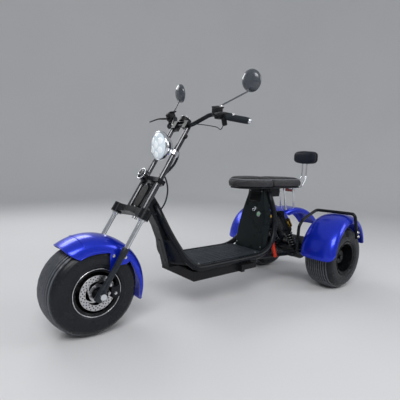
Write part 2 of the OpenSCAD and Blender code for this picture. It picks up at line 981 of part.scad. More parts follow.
module rim(bore, hub_r, hub_w) {
    rotate_extrude($fn = 96)
        polygon([
            [bore / 2 + run_gap, -hub_w], [hub_r, -hub_w], [hub_r, -6],
            [bead_r - 8, -22], [bead_r - 5, -bead_half - 3], [rim_r, -flange_half - 3],
            [rim_r, -flange_half], [bead_r - seat_gap, -bead_half],
            [bead_r - seat_gap, bead_half], [rim_r, flange_half],
            [rim_r, flange_half + 3], [bead_r - 5, bead_half + 3],
            [bead_r - 8, -14], [hub_r, 6], [hub_r, hub_w], [bore / 2 + run_gap, hub_w]
        ]);
}

module front_tyre() {
    color([0.05, 0.05, 0.055])
        on_axle(front_axle_x)
            tyre();
}

module front_rim() {
    color([0.08, 0.08, 0.085])
        on_axle(front_axle_x)
            rim(front_axle_d, 42, disc_y - disc_t / 2 - seat_gap);
}

module brake_disc() {
    color([0.7, 0.7, 0.72])
        on_axle(front_axle_x)
            translate([0, 0, disc_y - disc_t / 2])
                difference() {
                    cylinder(h = disc_t, d = disc_d);
                    translate([0, 0, -1])
                        cylinder(h = disc_t + 2, r = 28);
                    for (a = [0:60:359])
                        rotate([0, 0, a])
                            translate([48, 0, -1])
                                cylinder(h = disc_t + 2, r = 12);
                }
}

module rear_wheel_place(side) {
    on_axle(rear_axle_x, side * rear_y)
        children();
}

module rear_left_tyre() {
    color([0.05, 0.05, 0.055])
        rear_wheel_place(1)
            tyre();
}

module rear_left_rim() {
    color([0.06, 0.06, 0.065])
        rear_wheel_place(1)
            rim(rear_axle_d, 46, hub_half);
}

module rear_right_tyre() {
    color([0.05, 0.05, 0.055])
        rear_wheel_place(-1)
            tyre();
}

module rear_right_rim() {
    color([0.06, 0.06, 0.065])
        rear_wheel_place(-1)
            mirror([0, 0, 1])
                rim(rear_axle_d, 46, hub_half);
}

main_frame();
neck_shield();
floor_box();
floor_mat();
seat_pillar();
pillar_fittings();
seat_pan();
seat();
backrest_posts();
backrest_pad();
underseat_box();
seat_struts();
rear_subframe();
rear_axle();
shock_dampers();
shock_springs();
shock_reservoirs();
centre_guard();
rear_guard_left();
rear_guard_right();
guard_hoops();
foot_pegs();
red_pegs();
tail_lamp();
fork_sliders();
fork_stanchions();
lower_clamp();
uprights();
upper_yoke();
steering_stem();
handlebar();
bar_clamp();
grips();
brake_controls();
mirrors();
mirror_glass();
headlamp_bucket();
headlamp_glass();
horn();
dial();
front_guard();
front_axle();
brake_caliper();
front_tyre();
front_rim();
brake_disc();
rear_left_tyre();
rear_left_rim();
rear_right_tyre();
rear_right_rim();
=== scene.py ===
import math

import bmesh
import bpy
import numpy as np
from mathutils import Matrix, Vector
from mathutils.bvhtree import BVHTree


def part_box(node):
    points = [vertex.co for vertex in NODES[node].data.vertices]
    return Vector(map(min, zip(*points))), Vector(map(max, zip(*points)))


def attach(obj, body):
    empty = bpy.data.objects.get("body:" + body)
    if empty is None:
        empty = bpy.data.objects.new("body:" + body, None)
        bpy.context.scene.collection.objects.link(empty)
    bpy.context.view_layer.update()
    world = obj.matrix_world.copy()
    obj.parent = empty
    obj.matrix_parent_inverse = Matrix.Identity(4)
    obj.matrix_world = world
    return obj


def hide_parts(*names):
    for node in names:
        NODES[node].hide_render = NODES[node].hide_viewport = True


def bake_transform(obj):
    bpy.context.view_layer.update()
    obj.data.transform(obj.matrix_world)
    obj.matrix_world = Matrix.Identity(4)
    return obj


# Room: the tricycle stands on pale paper that curves up into a wall all round, under one large
# soft lamp ahead of its left side, with weaker ones beside and behind. The camera stands ahead of
# the left side too, a little below a rider's eyes.
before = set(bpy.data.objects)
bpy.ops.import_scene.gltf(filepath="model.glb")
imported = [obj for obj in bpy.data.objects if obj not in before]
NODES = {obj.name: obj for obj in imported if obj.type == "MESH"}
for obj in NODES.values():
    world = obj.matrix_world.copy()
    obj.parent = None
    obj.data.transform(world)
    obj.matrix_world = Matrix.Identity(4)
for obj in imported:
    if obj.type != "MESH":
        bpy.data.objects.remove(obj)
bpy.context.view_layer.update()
FRONT_X = 0.862892
REAR_X = FRONT_X - 1.680
AXLE_Z = 0.2275
scene = bpy.context.scene
scene.view_settings.view_transform = "Standard"

yaw, pitch, roll = (math.radians(a) for a in (-131.966, -7.873, 2.548))
ahead = Vector((math.cos(pitch) * math.cos(yaw), math.cos(pitch) * math.sin(yaw), math.sin(pitch)))
level = Vector((math.sin(yaw), -math.cos(yaw), 0))
over = level.cross(ahead)
right = level * math.cos(roll) + over * math.sin(roll)
up = over * math.cos(roll) - level * math.sin(roll)
camera = bpy.data.objects.new("camera", bpy.data.cameras.new("camera"))
camera.matrix_world = Matrix.Translation((FRONT_X + 0.6854, 1.7120, 0.8761)) @ Matrix(
    (right, up, -ahead)
).transposed().to_4x4()
camera.data.lens = 32.65
camera.data.shift_x = -0.0499
camera.data.shift_y = 0.0274
scene.collection.objects.link(camera)
scene.camera = camera


class Field:
    """A value in a node tree: arithmetic makes Math nodes, node() makes any other node."""

    def __init__(self, tree, socket=None):
        self.tree, self.socket = tree, socket

    def node(self, kind, inputs=None, out=0, **settings):
        whole = kind.startswith(("Geometry", "Function"))
        made = self.tree.nodes.new(kind if whole else "ShaderNode" + kind)
        for key, value in settings.items():
            setattr(made, key, value)
        for key, value in (inputs or {}).items():
            for one in value if isinstance(value, list) else [value]:
                if isinstance(one, Field):
                    self.tree.links.new(one.socket, made.inputs[key])
                else:
                    made.inputs[key].default_value = one
        return Field(self.tree, made.outputs[out])

    def math(self, operation, first, second):
        return self.node("Math", {0: first, 1: second}, operation=operation)

    def __add__(self, other):
        return self.math("ADD", self, other)

    def __sub__(self, other):
        return self.math("SUBTRACT", self, other)

    def __rsub__(self, other):
        return self.math("SUBTRACT", other, self)

    def __mul__(self, other):
        return self.math("MULTIPLY", self, other)

    def __truediv__(self, other):
        return self.math("DIVIDE", self, other)

    __radd__ = __add__
    __rmul__ = __mul__


def material(name, vary, **fixed):
    """Principled material: vary(start) gives the inputs that change over the surface."""
    made = bpy.data.materials.new(name)
    made.use_nodes = True
    tree = made.node_tree
    shader = tree.nodes["Principled BSDF"]
    for key, value in fixed.items():
        shader.inputs[key.replace("_", " ")].default_value = value
    for key, value in vary(Field(tree)).items():
        tree.links.new(value.socket, shader.inputs[key])
    return made


def grain(start, scale, detail=2.0, rough=0.5):
    """Noise over the object's own place, in metres."""
    at = start.node("TexCoord", out="Object")
    return start.node("TexNoise", {"Vector": at, "Scale": scale, "Detail": detail, "Roughness": rough})


def ramp(value, low, high, a, b):
    """Value from low to high as a number from a to b."""
    return value.node(
        "MapRange", {"Value": value, "From Min": low, "From Max": high, "To Min": a, "To Max": b}
    )


def tint(value, low, high):
    """Colour between low and high."""
    return value.node("Mix", {"Factor": value, "A": (*low, 1), "B": (*high, 1)}, out=2, data_type="RGBA")


def bump(value, strength, depth):
    """Surface relief of that depth in metres."""
    return value.node("Bump", {"Height": value, "Strength": strength, "Distance": depth})


def put(name, finish, *shapes, smooth=True):
    """One mesh object from shapes, each a list of points and a list of faces."""
    verts, faces = [], []
    for points, corners in shapes:
        faces += [tuple(len(verts) + i for i in face) for face in corners]
        verts += [tuple(p) for p in points]
    mesh = bpy.data.meshes.new(name)
    mesh.from_pydata(verts, [], faces)
    skin = bmesh.new()
    skin.from_mesh(mesh)
    bmesh.ops.recalc_face_normals(skin, faces=skin.faces)
    skin.to_mesh(mesh)
    skin.free()
    mesh.polygons.foreach_set("use_smooth", [smooth] * len(mesh.polygons))
    mesh.update()
    mesh.materials.append(finish)
    piece = bpy.data.objects.new(name, mesh)
    scene.collection.objects.link(piece)
    return piece


def sheet_faces(rows, columns, loop_rows=False, loop_columns=False):
    """Faces of a grid of points, closed on itself where asked."""
    faces = []
    for i in range(rows if loop_rows else rows - 1):
        for k in range(columns if loop_columns else columns - 1):
            j, n = (i + 1) % rows, (k + 1) % columns
            faces.append((i * columns + k, j * columns + k, j * columns + n, i * columns + n))
    return faces


def lathe(profile, steps, place=Matrix(), closed=False):
    """Shape turned from (radius, height) pairs about local Z; place sets where it stands."""
    turn = 2 * np.pi * np.arange(steps) / steps
    verts = [place @ Vector((r * math.cos(a), r * math.sin(a), h)) for r, h in profile for a in turn]
    return verts, [f[::-1] for f in sheet_faces(len(profile), steps, closed, True)]


def paper_vary(start):
    return {"Base Color": tint(grain(start, 0.6), (0.70, 0.70, 0.71), (0.76, 0.76, 0.77))}


paper = material("room_paper", paper_vary, Roughness=0.9)
bowl = [(5.5 + 2.5 * math.sin(a), 2.5 - 2.5 * math.cos(a)) for a in np.linspace(0.1, math.pi / 2, 12)]
room = put("room", paper, lathe([(0.0, 0.0), (5.5, 0.0), *bowl, (8.0, 7.0)], 96))
world = bpy.data.worlds.new("studio")
scene.world = world
world.use_nodes = True
world.node_tree.nodes["Background"].inputs["Color"].default_value = (0.92, 0.96, 1.0, 1)
world.node_tree.nodes["Background"].inputs["Strength"].default_value = 0.42


def softbox(name, at, target, size, power):
    """Flat soft lamp of a width and height, turned to its target."""
    lamp = bpy.data.lights.new(name, "AREA")
    lamp.shape = "RECTANGLE"
    lamp.size, lamp.size_y = size
    lamp.energy = power
    made = bpy.data.objects.new(name, lamp)
    made.location = at
    made.rotation_euler = (Vector(target) - Vector(at)).to_track_quat("-Z", "Y").to_euler()
    scene.collection.objects.link(made)


softbox("key_light", (2.4, 2.6, 3.6), (0.1, 0.1, 0.4), (2.6, 1.8), 105)
softbox("side_light", (-2.6, 3.0, 2.4), (-0.3, 0, 0.4), (1.8, 2.2), 40)
softbox("back_light", (0.6, -3.4, 2.8), (0, 0, 0.5), (2.6, 1.4), 45)

# Frame: round steel tube, bent and welded, with a boxed neck beam, a thin skirt between the rails
# and plate under the floor. All of it is powder-coated black, with a fine orange-peel skin.


def clouded(noise, low, high, rough, relief=None):
    """Vary function: colour and roughness drift over noise; relief is its scale, strength and depth."""

    def vary(start):
        cloud = grain(start, *noise)
        inputs = {"Base Color": tint(cloud, low, high), "Roughness": ramp(cloud, 0.3, 0.75, *rough)}
        if relief:
            inputs["Normal"] = bump(grain(start, relief[0]), *relief[1:])
        return inputs

    return vary


frame_black = material(
    "frame_black",
    clouded(
        (16.0, 5.0, 0.62), (0.0030, 0.0036, 0.0050), (0.010, 0.0120, 0.0155), (0.22, 0.40), (700.0, 0.12, 0.0005)
    ),
    Specular_IOR_Level=0.2,
)


def dress(finish, *names):
    """Gives CAD pieces their finish."""
    for name in names:
        mesh = NODES[name].data
        mesh.materials.clear()
        mesh.materials.append(finish)


dress(frame_black, "seat_pan", "rear_subframe")


def capped(rows, ring):
    """Faces of a row of closed rings, with both ends filled."""
    last = (rows - 1) * ring
    return [*sheet_faces(rows, ring, False, True), tuple(range(ring)), tuple(range(last, last + ring))[::-1]]


def tube(path, radius, sides=10, closed=False):
    """Round rod swept along a line of points, with flat or joined ends."""
    path = np.array(path, float)
    if closed:
        heading = np.roll(path, -1, 0) - np.roll(path, 1, 0)
    else:
        heading = np.gradient(path, axis=0)
    heading /= np.linalg.norm(heading, axis=1)[:, None]
    thick = np.broadcast_to(radius, len(path))
    side = np.cross(heading[0], (0, 0, 1) if abs(heading[0][2]) < 0.9 else (1, 0, 0))
    verts = []
    for point, d, r in zip(path, heading, thick):
        side = side - d * side.dot(d)
        side /= np.linalg.norm(side)
        other = np.cross(d, side)
        for a in 2 * np.pi * np.arange(sides) / sides:
            verts.append(point + r * (math.cos(a) * side + math.sin(a) * other))
    faces = sheet_faces(len(path), sides, True, True) if closed else capped(len(path), sides)
    return verts, [f[::-1] for f in faces]


def through(points, steps=10, closed=False):
    """Smooth line through points."""
    p = np.array(points, float)
    count = len(p)
    line = []
    for i in range(count if closed else count - 1):
        if closed:
            a, b, c, d = (p[(i + k) % count] for k in (-1, 0, 1, 2))
        else:
            a, b, c, d = p[max(i - 1, 0)], p[i], p[i + 1], p[min(i + 2, count - 1)]
        for t in np.arange(steps) / steps:
            line.append(
                b + 0.5 * t * (c - a + t * (2 * a - 5 * b + 4 * c - d + t * (3 * (b - c) + d - a)))
            )
    return np.array(line if closed else [*line, p[-1]])


def new_tree(name, **inputs):
    """Geometry tree with named inputs, and those inputs by name."""
    tree = bpy.data.node_groups.new(name, "GeometryNodeTree")
    tree.interface.new_socket("Geometry", in_out="INPUT", socket_type="NodeSocketGeometry")
    for key, kind in inputs.items():
        tree.interface.new_socket(key, in_out="INPUT", socket_type="NodeSocket" + kind)
    tree.interface.new_socket("Geometry", in_out="OUTPUT", socket_type="NodeSocketGeometry")
    entry = tree.nodes.new("NodeGroupInput")
    return tree, {socket.name: Field(tree, socket) for socket in entry.outputs if socket.name}


def close_tree(tree, shape, finish):
    """Ends a tree in plain mesh of one finish."""
    whole = shape.node("GeometryNodeRealizeInstances", {0: shape})
    done = whole.node("GeometryNodeSetMaterial", {"Geometry": whole, "Material": finish})
    tree.links.new(done.socket, tree.nodes.new("NodeGroupOutput").inputs[0])
    return tree


def on_points(shape, inputs):
    """The shape on every point, its Z along the point's own direction."""
    way = shape.node("GeometryNodeInputNamedAttribute", {"Name": "along"}, data_type="FLOAT_VECTOR")
    turn = shape.node("FunctionNodeAlignRotationToVector", {"Vector": way}, axis="Z")
    return shape.node(
        "GeometryNodeInstanceOnPoints",
        {"Points": inputs["Geometry"], "Instance": shape, "Rotation": turn},
    )


def baked(piece):
    """Plain mesh of a piece as its modifiers leave it."""
    return bpy.data.meshes.new_from_object(piece.evaluated_get(bpy.context.evaluated_depsgraph_get()))


def grow(name, tree, spots, **values):
    """Plain mesh of a tree run over spots, each a point and a direction."""
    mesh = bpy.data.meshes.new(name)
    mesh.from_pydata([tuple(p) for p, d in spots], [], [])
    way = mesh.attributes.new("along", "FLOAT_VECTOR", "POINT")
    way.data.foreach_set("vector", np.array([tuple(d) for p, d in spots], np.float32).ravel())
    bed = bpy.data.objects.new(name, mesh)
    scene.collection.objects.link(bed)
    modifier = bed.modifiers.new("grow", "NODES")
    modifier.node_group = tree
    for item in tree.interface.items_tree:
        if item.in_out == "INPUT" and item.name in values:
            modifier[item.identifier] = values[item.name]
    bpy.context.view_layer.update()
    done = baked(bed)
    bpy.data.objects.remove(bed)
    piece = bpy.data.objects.new(name, done)
    scene.collection.objects.link(piece)
    return piece


def bolt_tree():
    """Hexagon head with a domed top on a round washer, standing on its point."""
    tree, given = new_tree("bolt", Width="Float", Finish="Material")
    width = given["Width"]

    def disc(corners, wide, thick, low, narrow=1.0):
        cone = width.node(
            "GeometryNodeMeshCone",
            {
                "Vertices": corners,
                "Radius Bottom": width * wide,
                "Radius Top": width * (wide * narrow),
                "Depth": width * thick,
            },
        )
        lift = width.node("CombineXYZ", {"Z": width * low})
        return cone.node("GeometryNodeTransform", {"Geometry": cone, "Translation": lift})

    parts = [disc(20, 0.72, 0.14, 0.0), disc(6, 0.56, 0.42, 0.14), disc(6, 0.55, 0.10, 0.56, 0.7)]
    head = width.node("GeometryNodeJoinGeometry", {"Geometry": parts})
    return close_tree(tree, on_points(head, given), given["Finish"])


BOLT = bolt_tree()
zinc = material(
    "zinc_plate",
    clouded((60.0, 4.0, 0.7), (0.55, 0.56, 0.58), (0.80, 0.80, 0.82), (0.18, 0.36)),
    Metallic=1.0,
)


def bolts(name, body, width, spots):
    """Row of bolt heads that moves with a body."""
    piece = grow(name, BOLT, spots, Width=width, Finish=zinc)
    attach(piece, body)
    return piece


RAKE = math.radians(31.5)


def up_fork(n, y, s):
    """Point ahead of the fork's line, to the left and up along it from the axle."""
    return Vector((
        FRONT_X + n * math.cos(RAKE) - s * math.sin(RAKE), y,
        AXLE_Z + n * math.sin(RAKE) + s * math.cos(RAKE),
    ))


def facing(point, way):
    """Place at a point, with its Z along a direction."""
    return Matrix.Translation(point) @ Vector(way).to_track_quat("Z", "Y").to_matrix().to_4x4()


def bent(points, cuts, steps=14):
    """Line through points, with each corner rounded over its own distance."""
    p = [np.array(q, float) for q in points]
    line = [p[0]]
    for a, b, c, cut in zip(p, p[1:], p[2:], cuts):
        first = b + cut * (a - b) / np.linalg.norm(a - b)
        last = b + cut * (c - b) / np.linalg.norm(c - b)
        line += [(1 - t) ** 2 * first + 2 * t * (1 - t) * b + t * t * last for t in np.arange(steps + 1) / steps]
    return np.array([*line, p[-1]])


def slab(near, far):
    """Solid between two outlines of as many points."""
    count = len(near)
    sides = [(i, (i + 1) % count, count + (i + 1) % count, count + i) for i in range(count)]
    return [*near, *far], [tuple(range(count)), tuple(range(count, 2 * count)), *sides]


def prism(outline, low, high):
    """Solid between two places across, from (forward, up) corners."""
    return slab(*([(x, y, z) for x, z in outline] for y in (low, high)))


def folded(rows, cells):
    """Faces of a thin skin whose rows run over its outside and back inside, with closed ends."""
    ring = 2 * cells + 2
    faces = sheet_faces(rows, ring, False, True)
    for base in (0, (rows - 1) * ring):
        faces += [(base + k, base + k + 1, base + ring - 2 - k, base + ring - 1 - k) for k in range(cells)]
    return faces


def floor_plate(front, back, half):
    """Flat plate under the deck between two places behind the front axle."""
    corners = [(front, 0.266), (front, 0.278), (back, 0.278), (back, 0.266)]
    return prism([(FRONT_X + x, z) for x, z in corners], -half, half)


up_way = up_fork(0, 0, 1) - up_fork(0, 0, 0)
rail_points = [(-0.352, 0.036, 0.628), (-0.436, 0.066, 0.452), (-0.500, 0.140, 0.310), (-0.552, 0.170, 0.270)]
rail_points += [(-1.222, 0.166, 0.270), (-1.250, 0.120, 0.548), (-1.222, 0.081, 0.682)]
rail = bent(rail_points, [0.07, 0.06, 0.03, 0.205, 0.06]) + (FRONT_X, 0, 0)
rails = [tube(rail * (1, y, 1), 0.018, 20) for y in (1, -1)]
sleeve = [(0.027, 0.466), (0.029, 0.470), (0.029, 0.482), (0.027, 0.486), (0.027, 0.590), (0.029, 0.594)]
sleeve += [(0.029, 0.606), (0.027, 0.610), (0.0132, 0.610), (0.0132, 0.466)]
head = lathe(sleeve, 48, facing(up_fork(-0.040, 0, 0), up_way), True)
beam_front = [(-0.302, 0.6215), (-0.372, 0.500), (-0.404, 0.420), (-0.440, 0.300), (-0.448, 0.262)]
beam = [up_fork(-0.056, 0, 0.560).xz, up_fork(-0.056, 0, 0.494).xz]
beam += [(FRONT_X + x, z) for x, z in [*beam_front[1:], (-0.545, 0.262), (-0.500, 0.310), (-0.392, 0.600)]]
SKIRT_ROWS, SKIRT_CELLS, NECK_BENDS = 12, 14, 50
neck = rail[:NECK_BENDS][::-1]
skirt = []
for z in np.linspace(0.274, 0.425, SKIRT_ROWS):
    x, y = (np.interp(z, neck[:, 2], neck[:, k]) for k in (0, 1))
    keel = FRONT_X + 0.001 + np.interp(z, *np.array(beam_front)[::-1].T[::-1]) - x
    front = [(x + keel * (1 - u * u), u * y, z) for u in np.linspace(-1, 1, SKIRT_CELLS + 1)]
    skirt += front + [(a - 0.003, b, c) for a, b, c in front[::-1]]
body = put("frame_tubes", frame_black, *rails, head, (skirt, folded(SKIRT_ROWS, SKIRT_CELLS)))
hard = put(
    "frame_plates", frame_black,
    prism(beam, -0.038, 0.038), floor_plate(-0.550, -1.000, 0.170), floor_plate(-0.980, -1.204, 0.140),
    smooth=False,
)
for piece in (body, hard):
    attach(piece, "frame")
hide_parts("main_frame")

# Floor: a moulded black box under the deck, and over it a rubber mat with low cross ribs and a
# raised rim, held by small screws at its edges.
MAT_FRONT, MAT_BACK = FRONT_X - 0.572, FRONT_X - 1.112
MAT_HALF, MAT_TOP = 0.148, 0.2862
moulded_black = material(
    "moulded_black",
    clouded(
        (12.0, 5.0, 0.6), (0.0045, 0.0047, 0.0054), (0.014, 0.0145, 0.016), (0.34, 0.52), (1500.0, 0.25, 0.0006)
    ),
    Specular_IOR_Level=0.18,
)
dress(moulded_black, "floor_box", "foot_pegs")
mat_rubber = material(
    "mat_rubber",
    clouded((11.0, 6.0, 0.65), (0.010, 0.0135, 0.018), (0.030, 0.038, 0.047), (0.42, 0.64), (1200.0, 0.4, 0.0008)),
    Specular_IOR_Level=0.2,
)
dress(mat_rubber, "floor_mat")


def rib_tree():
    """Low rounded rib laid along its point's direction."""
    tree, given = new_tree("mat_rib", Length="Float", Radius="Float", Finish="Material")
    rod = given["Radius"].node(
        "GeometryNodeMeshCylinder",
        {"Vertices": 12, "Radius": given["Radius"], "Depth": given["Length"]},
    )
    soft = rod.node("GeometryNodeSetShadeSmooth", {"Geometry": rod})
    return close_tree(tree, on_points(soft, given), given["Finish"])


RIB = rib_tree()
rows = np.linspace(MAT_BACK + 0.07, MAT_FRONT - 0.03, 12)
ribs = grow(
    "mat_ribs", RIB, [((x, 0, MAT_TOP - 0.0012), (0, 1, 0)) for x in rows],
    Length=2 * MAT_HALF - 0.05, Radius=0.003, Finish=mat_rubber,
)
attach(ribs, "frame")
bolts(
    "mat_screws", "frame", 0.007,
    [((x, y, MAT_TOP), (0, 0, 1)) for x in (MAT_FRONT - 0.012, MAT_BACK + 0.055) for y in (-0.138, 0.138)],
)

# Neck plate: a flat black moulding with a rounded top that closes the front of the head tube. It
# stays with the frame while the fork turns round it.
top = [(0.031 * math.cos(a), 0.566 + 0.031 * math.sin(a)) for a in np.linspace(0, math.pi, 17)]
outline = [(0.026, 0.470), (0.031, 0.500), *top, (-0.031, 0.500), (-0.026, 0.470)]
plate_faces = ([up_fork(n, y, s) for y, s in outline] for n in (-0.012, -0.008))
shield = put("neck_plate", moulded_black, slab(*plate_faces), smooth=False)
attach(shield, "frame")
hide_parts("neck_shield")

# Pillar: a hollow moulded cover that leans back under the seat, in satin green-black plastic with
# folded side flanks. Its front carries a slatted vent, a lock with its key, and a round socket.
PILLAR_X, PILLAR_Z, LEAN = FRONT_X - 1.130, 0.2782, math.radians(8)
PILLAR_HALF, PILLAR_TALL, PILLAR_DEEP = 0.148, 0.4275, 0.066


def at_pillar(ahead, left, high):
    """Point ahead of the pillar's front face, to the left and up along it."""
    return Vector((
        PILLAR_X + ahead * math.cos(LEAN) - high * math.sin(LEAN), left,
        PILLAR_Z + ahead * math.sin(LEAN) + high * math.cos(LEAN),
    ))


panel_dark = material(
    "panel_dark",
    clouded((7.0, 4.0, 0.6), (0.003, 0.0055, 0.0062), (0.010, 0.0155, 0.0170), (0.22, 0.42), (900.0, 0.1, 0.0004)),
    Specular_IOR_Level=0.2,
)
sections = [
    (0, 0.88, 0.030, 0.98, 0.80), (0.17, 0.86, 0.026, 0.95, 0.80), (0.36, 0.82, 0.036, 0.91, 0.78),
    (0.57, 0.73, 0.036, 0.85, 0.69), (0.76, 0.60, 0.028, 0.69, 0.57), (1, 0.41, 0.018, 0.43, 0.38),
]
shell = []
for share, front, deep, side, back in through(sections, 6):
    front, side, back = front * PILLAR_HALF, side * PILLAR_HALF, back * PILLAR_HALF
    half = [(0, front - 0.007), (-0.0015, front - 0.002), (-0.006, front), (-deep, side)]
    half += [(-deep - 0.006, side - 0.001), (0.004 - PILLAR_DEEP, back), (-PILLAR_DEEP, back - 0.004)]
    for ahead, left in [*half, *[(a, -b) for a, b in half[::-1]]]:
        shell.append(at_pillar(ahead, left, share * PILLAR_TALL - ahead * math.tan(LEAN)))
ring = 2 * len(half)
cover = put("pillar_cover", panel_dark, (shell, capped(len(shell) // ring, ring)), smooth=False)
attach(cover, "frame")
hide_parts("seat_pillar")
corners = [(-0.041, 0.339), (0.041, 0.339), (0.041, 0.393), (-0.041, 0.393)]
vent_rim = [at_pillar(0.002, y, z) for y, z in corners]
vent = put("vent_rim", moulded_black, tube(through(vent_rim, 1, True), 0.004, 8, True))
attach(vent, "frame")
SLAT_TILT = 0.6


def slat_tree():
    """Slanted slat across the vent at each point."""
    tree, given = new_tree("vent_slat", Length="Float", Width="Float", Finish="Material")
    size = given["Width"].node(
        "CombineXYZ", {"X": given["Length"], "Y": given["Width"], "Z": given["Width"] * 0.25}
    )
    slat = size.node("GeometryNodeMeshCube", {"Size": size})
    turned = slat.node("GeometryNodeTransform", {"Geometry": slat, "Rotation": (SLAT_TILT, 0.0, 1.5708)})
    return close_tree(tree, on_points(turned, given), given["Finish"])


slats = grow(
    "vent_slats", slat_tree(), [(at_pillar(0.002, 0, z), (0, 0, 1)) for z in np.linspace(0.345, 0.388, 6)],
    Length=0.078, Width=0.008, Finish=moulded_black,
)
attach(slats, "frame")
chrome = material(
    "bright_chrome",
    clouded((24.0, 6.0, 0.7), (0.62, 0.64, 0.68), (0.80, 0.82, 0.85), (0.05, 0.17)),
    Metallic=1.0,
)
dress(chrome, "pillar_fittings")
outward = at_pillar(1, 0, 0) - at_pillar(0, 0, 0)
place = facing(at_pillar(0.0082, 0.020, 0.285), outward)
rim_of_lock = [(0.0072, 0.0), (0.0072, 0.0022), (0.0062, 0.003), (0.0052, 0.0022), (0.0052, 0.0006), (0.0, 0.0006)]
eighths = np.arange(8) * math.pi / 4
bow = [at_pillar(0.020 + 0.010 * math.cos(a), 0.020, 0.274 + 0.012 * math.sin(a)) for a in eighths]
key_stem = [at_pillar(a, 0.020, 0.285) for a in (0.0092, 0.014, 0.020)]
key = put(
    "lock_and_key", chrome,
    lathe(rim_of_lock, 32, place), tube(through(bow, 4, True), 0.0016, 8, True), tube(key_stem, 0.0022, 8),
)
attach(key, "frame")
place = facing(at_pillar(0.0072, 0.058, 0.250), outward)
cap_profile = [(0.0135, 0.0), (0.0135, 0.003), (0.0122, 0.0042), (0.006, 0.0052), (0.0, 0.0054)]
cap_green = material(
    "cap_green",
    clouded((40.0, 3.0, 0.5), (0.16, 0.30, 0.20), (0.26, 0.44, 0.31), (0.35, 0.5)),
)
socket_cap = put("socket_cap", cap_green, lathe(cap_profile, 40, place))
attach(socket_cap, "frame")
bolts(
    "pillar_screws", "frame", 0.006,
    [(at_pillar(0.0002, y, 0.03), outward) for y in (-0.112, 0.112)]
    + [(at_pillar(0.0002, y, 0.406), outward) for y in (-0.052, 0.052)],
)

# Seat: two foam cushions on a steel pan, the rider's in front and the passenger's behind, in dark
# grey satin vinyl. A crowned top panel is sewn to a plain band at the sides, with piping between.
SEAT_FRONT, SEAT_LONG, SEAT_HALF = FRONT_X - 0.942, 0.660, 0.130
SEAT_Z, SEAT_THICK = 0.7124, 0.066
SWELL_STEPS = 20
SEAT_ROWS = [
    (0, 0.12, 0.30), (0.012, 0.30, 0.62), (0.045, 0.50, 0.84), (0.10, 0.70, 0.95), (0.20, 0.92, 0.99),
    (0.30, 1, 1), (0.38, 0.97, 1), (0.425, 0.92, 0.96), (0.45, 0.86, 0.80), (0.465, 0.80, 0.60),
    (0.485, 0.80, 0.60), (0.50, 0.82, 0.80), (0.525, 0.84, 0.94), (0.60, 0.84, 0.98),
    (0.75, 0.82, 0.97), (0.90, 0.78, 0.94), (0.96, 0.72, 0.84), (0.99, 0.64, 0.62), (1, 0.56, 0.40),
]


def pressed(scale, low, high, rough, strength, depth):
    """Vary function of vinyl: fine pressed cells under a drifting shade."""

    def vary(start):
        at = start.node("TexCoord", out="Object")
        cell = start.node("TexVoronoi", {"Vector": at, "Scale": 420.0}, feature="DISTANCE_TO_EDGE")
        inputs = clouded((scale, 4.0, 0.6), low, high, rough)(start)
        inputs["Normal"] = bump(ramp(cell, 0.0, 0.25, 0.0, 1.0), strength, depth)
        return inputs

    return vary


vinyl = material(
    "vinyl_black",
    pressed(8.0, (0.015, 0.0152, 0.017), (0.040, 0.0395, 0.042), (0.34, 0.52), 0.35, 0.0007),
    Specular_IOR_Level=0.35,
)
# Painted highlight: the pale grey of the piping and its thread stands for the light line along the cushions' top
# edges.
highlight_piping_vinyl = material(
    "highlight_piping_vinyl",
    clouded((90.0, 3.0, 0.6), (0.16, 0.165, 0.18), (0.26, 0.265, 0.29), (0.30, 0.46)),
)


def points_of(mesh):
    """Points of a mesh, one to a row."""
    found = np.empty(len(mesh.vertices) * 3)
    mesh.vertices.foreach_get("co", found)
    return found.reshape(-1, 3)


def swell(piece, cap, floor=None):
    """Blows a closed form up like a stuffed cover, each point by no more than cap."""
    remesh = piece.modifiers.new("even", "REMESH")
    remesh.mode, remesh.voxel_size, remesh.use_smooth_shade = "VOXEL", 0.005, True
    bpy.context.view_layer.update()
    even = baked(piece)
    piece.modifiers.clear()
    even.materials.clear()
    even.materials.append(piece.data.materials[0])
    piece.data = even
    rest = points_of(even)
    cloth = piece.modifiers.new("stuffing", "CLOTH")
    cloth.settings.quality = 5
    cloth.settings.mass = 0.3
    cloth.settings.bending_stiffness = 1.0
    cloth.settings.use_pressure = True
    cloth.settings.uniform_pressure_force = 4.0
    cloth.settings.effector_weights.gravity = 0.0
    cloth.point_cache.frame_start, cloth.point_cache.frame_end = 1, SWELL_STEPS
    for step in range(1, SWELL_STEPS + 1):
        scene.frame_set(step)
    moved = points_of(baked(piece)) - rest
    far = np.linalg.norm(moved, axis=1)
    rest += moved * np.minimum(1, cap / np.maximum(far, 1e-9))[:, None]
    if floor is not None:
        rest[:, 2] = np.maximum(rest[:, 2], floor)
    piece.modifiers.clear()
    scene.frame_set(1)
    even.vertices.foreach_set("co", rest.ravel())
    even.update()
    divide = piece.modifiers.new("soft", "SUBSURF")
    divide.levels = divide.render_levels = 1
    bpy.context.view_layer.update()
    piece.data = baked(piece)
    piece.modifiers.clear()


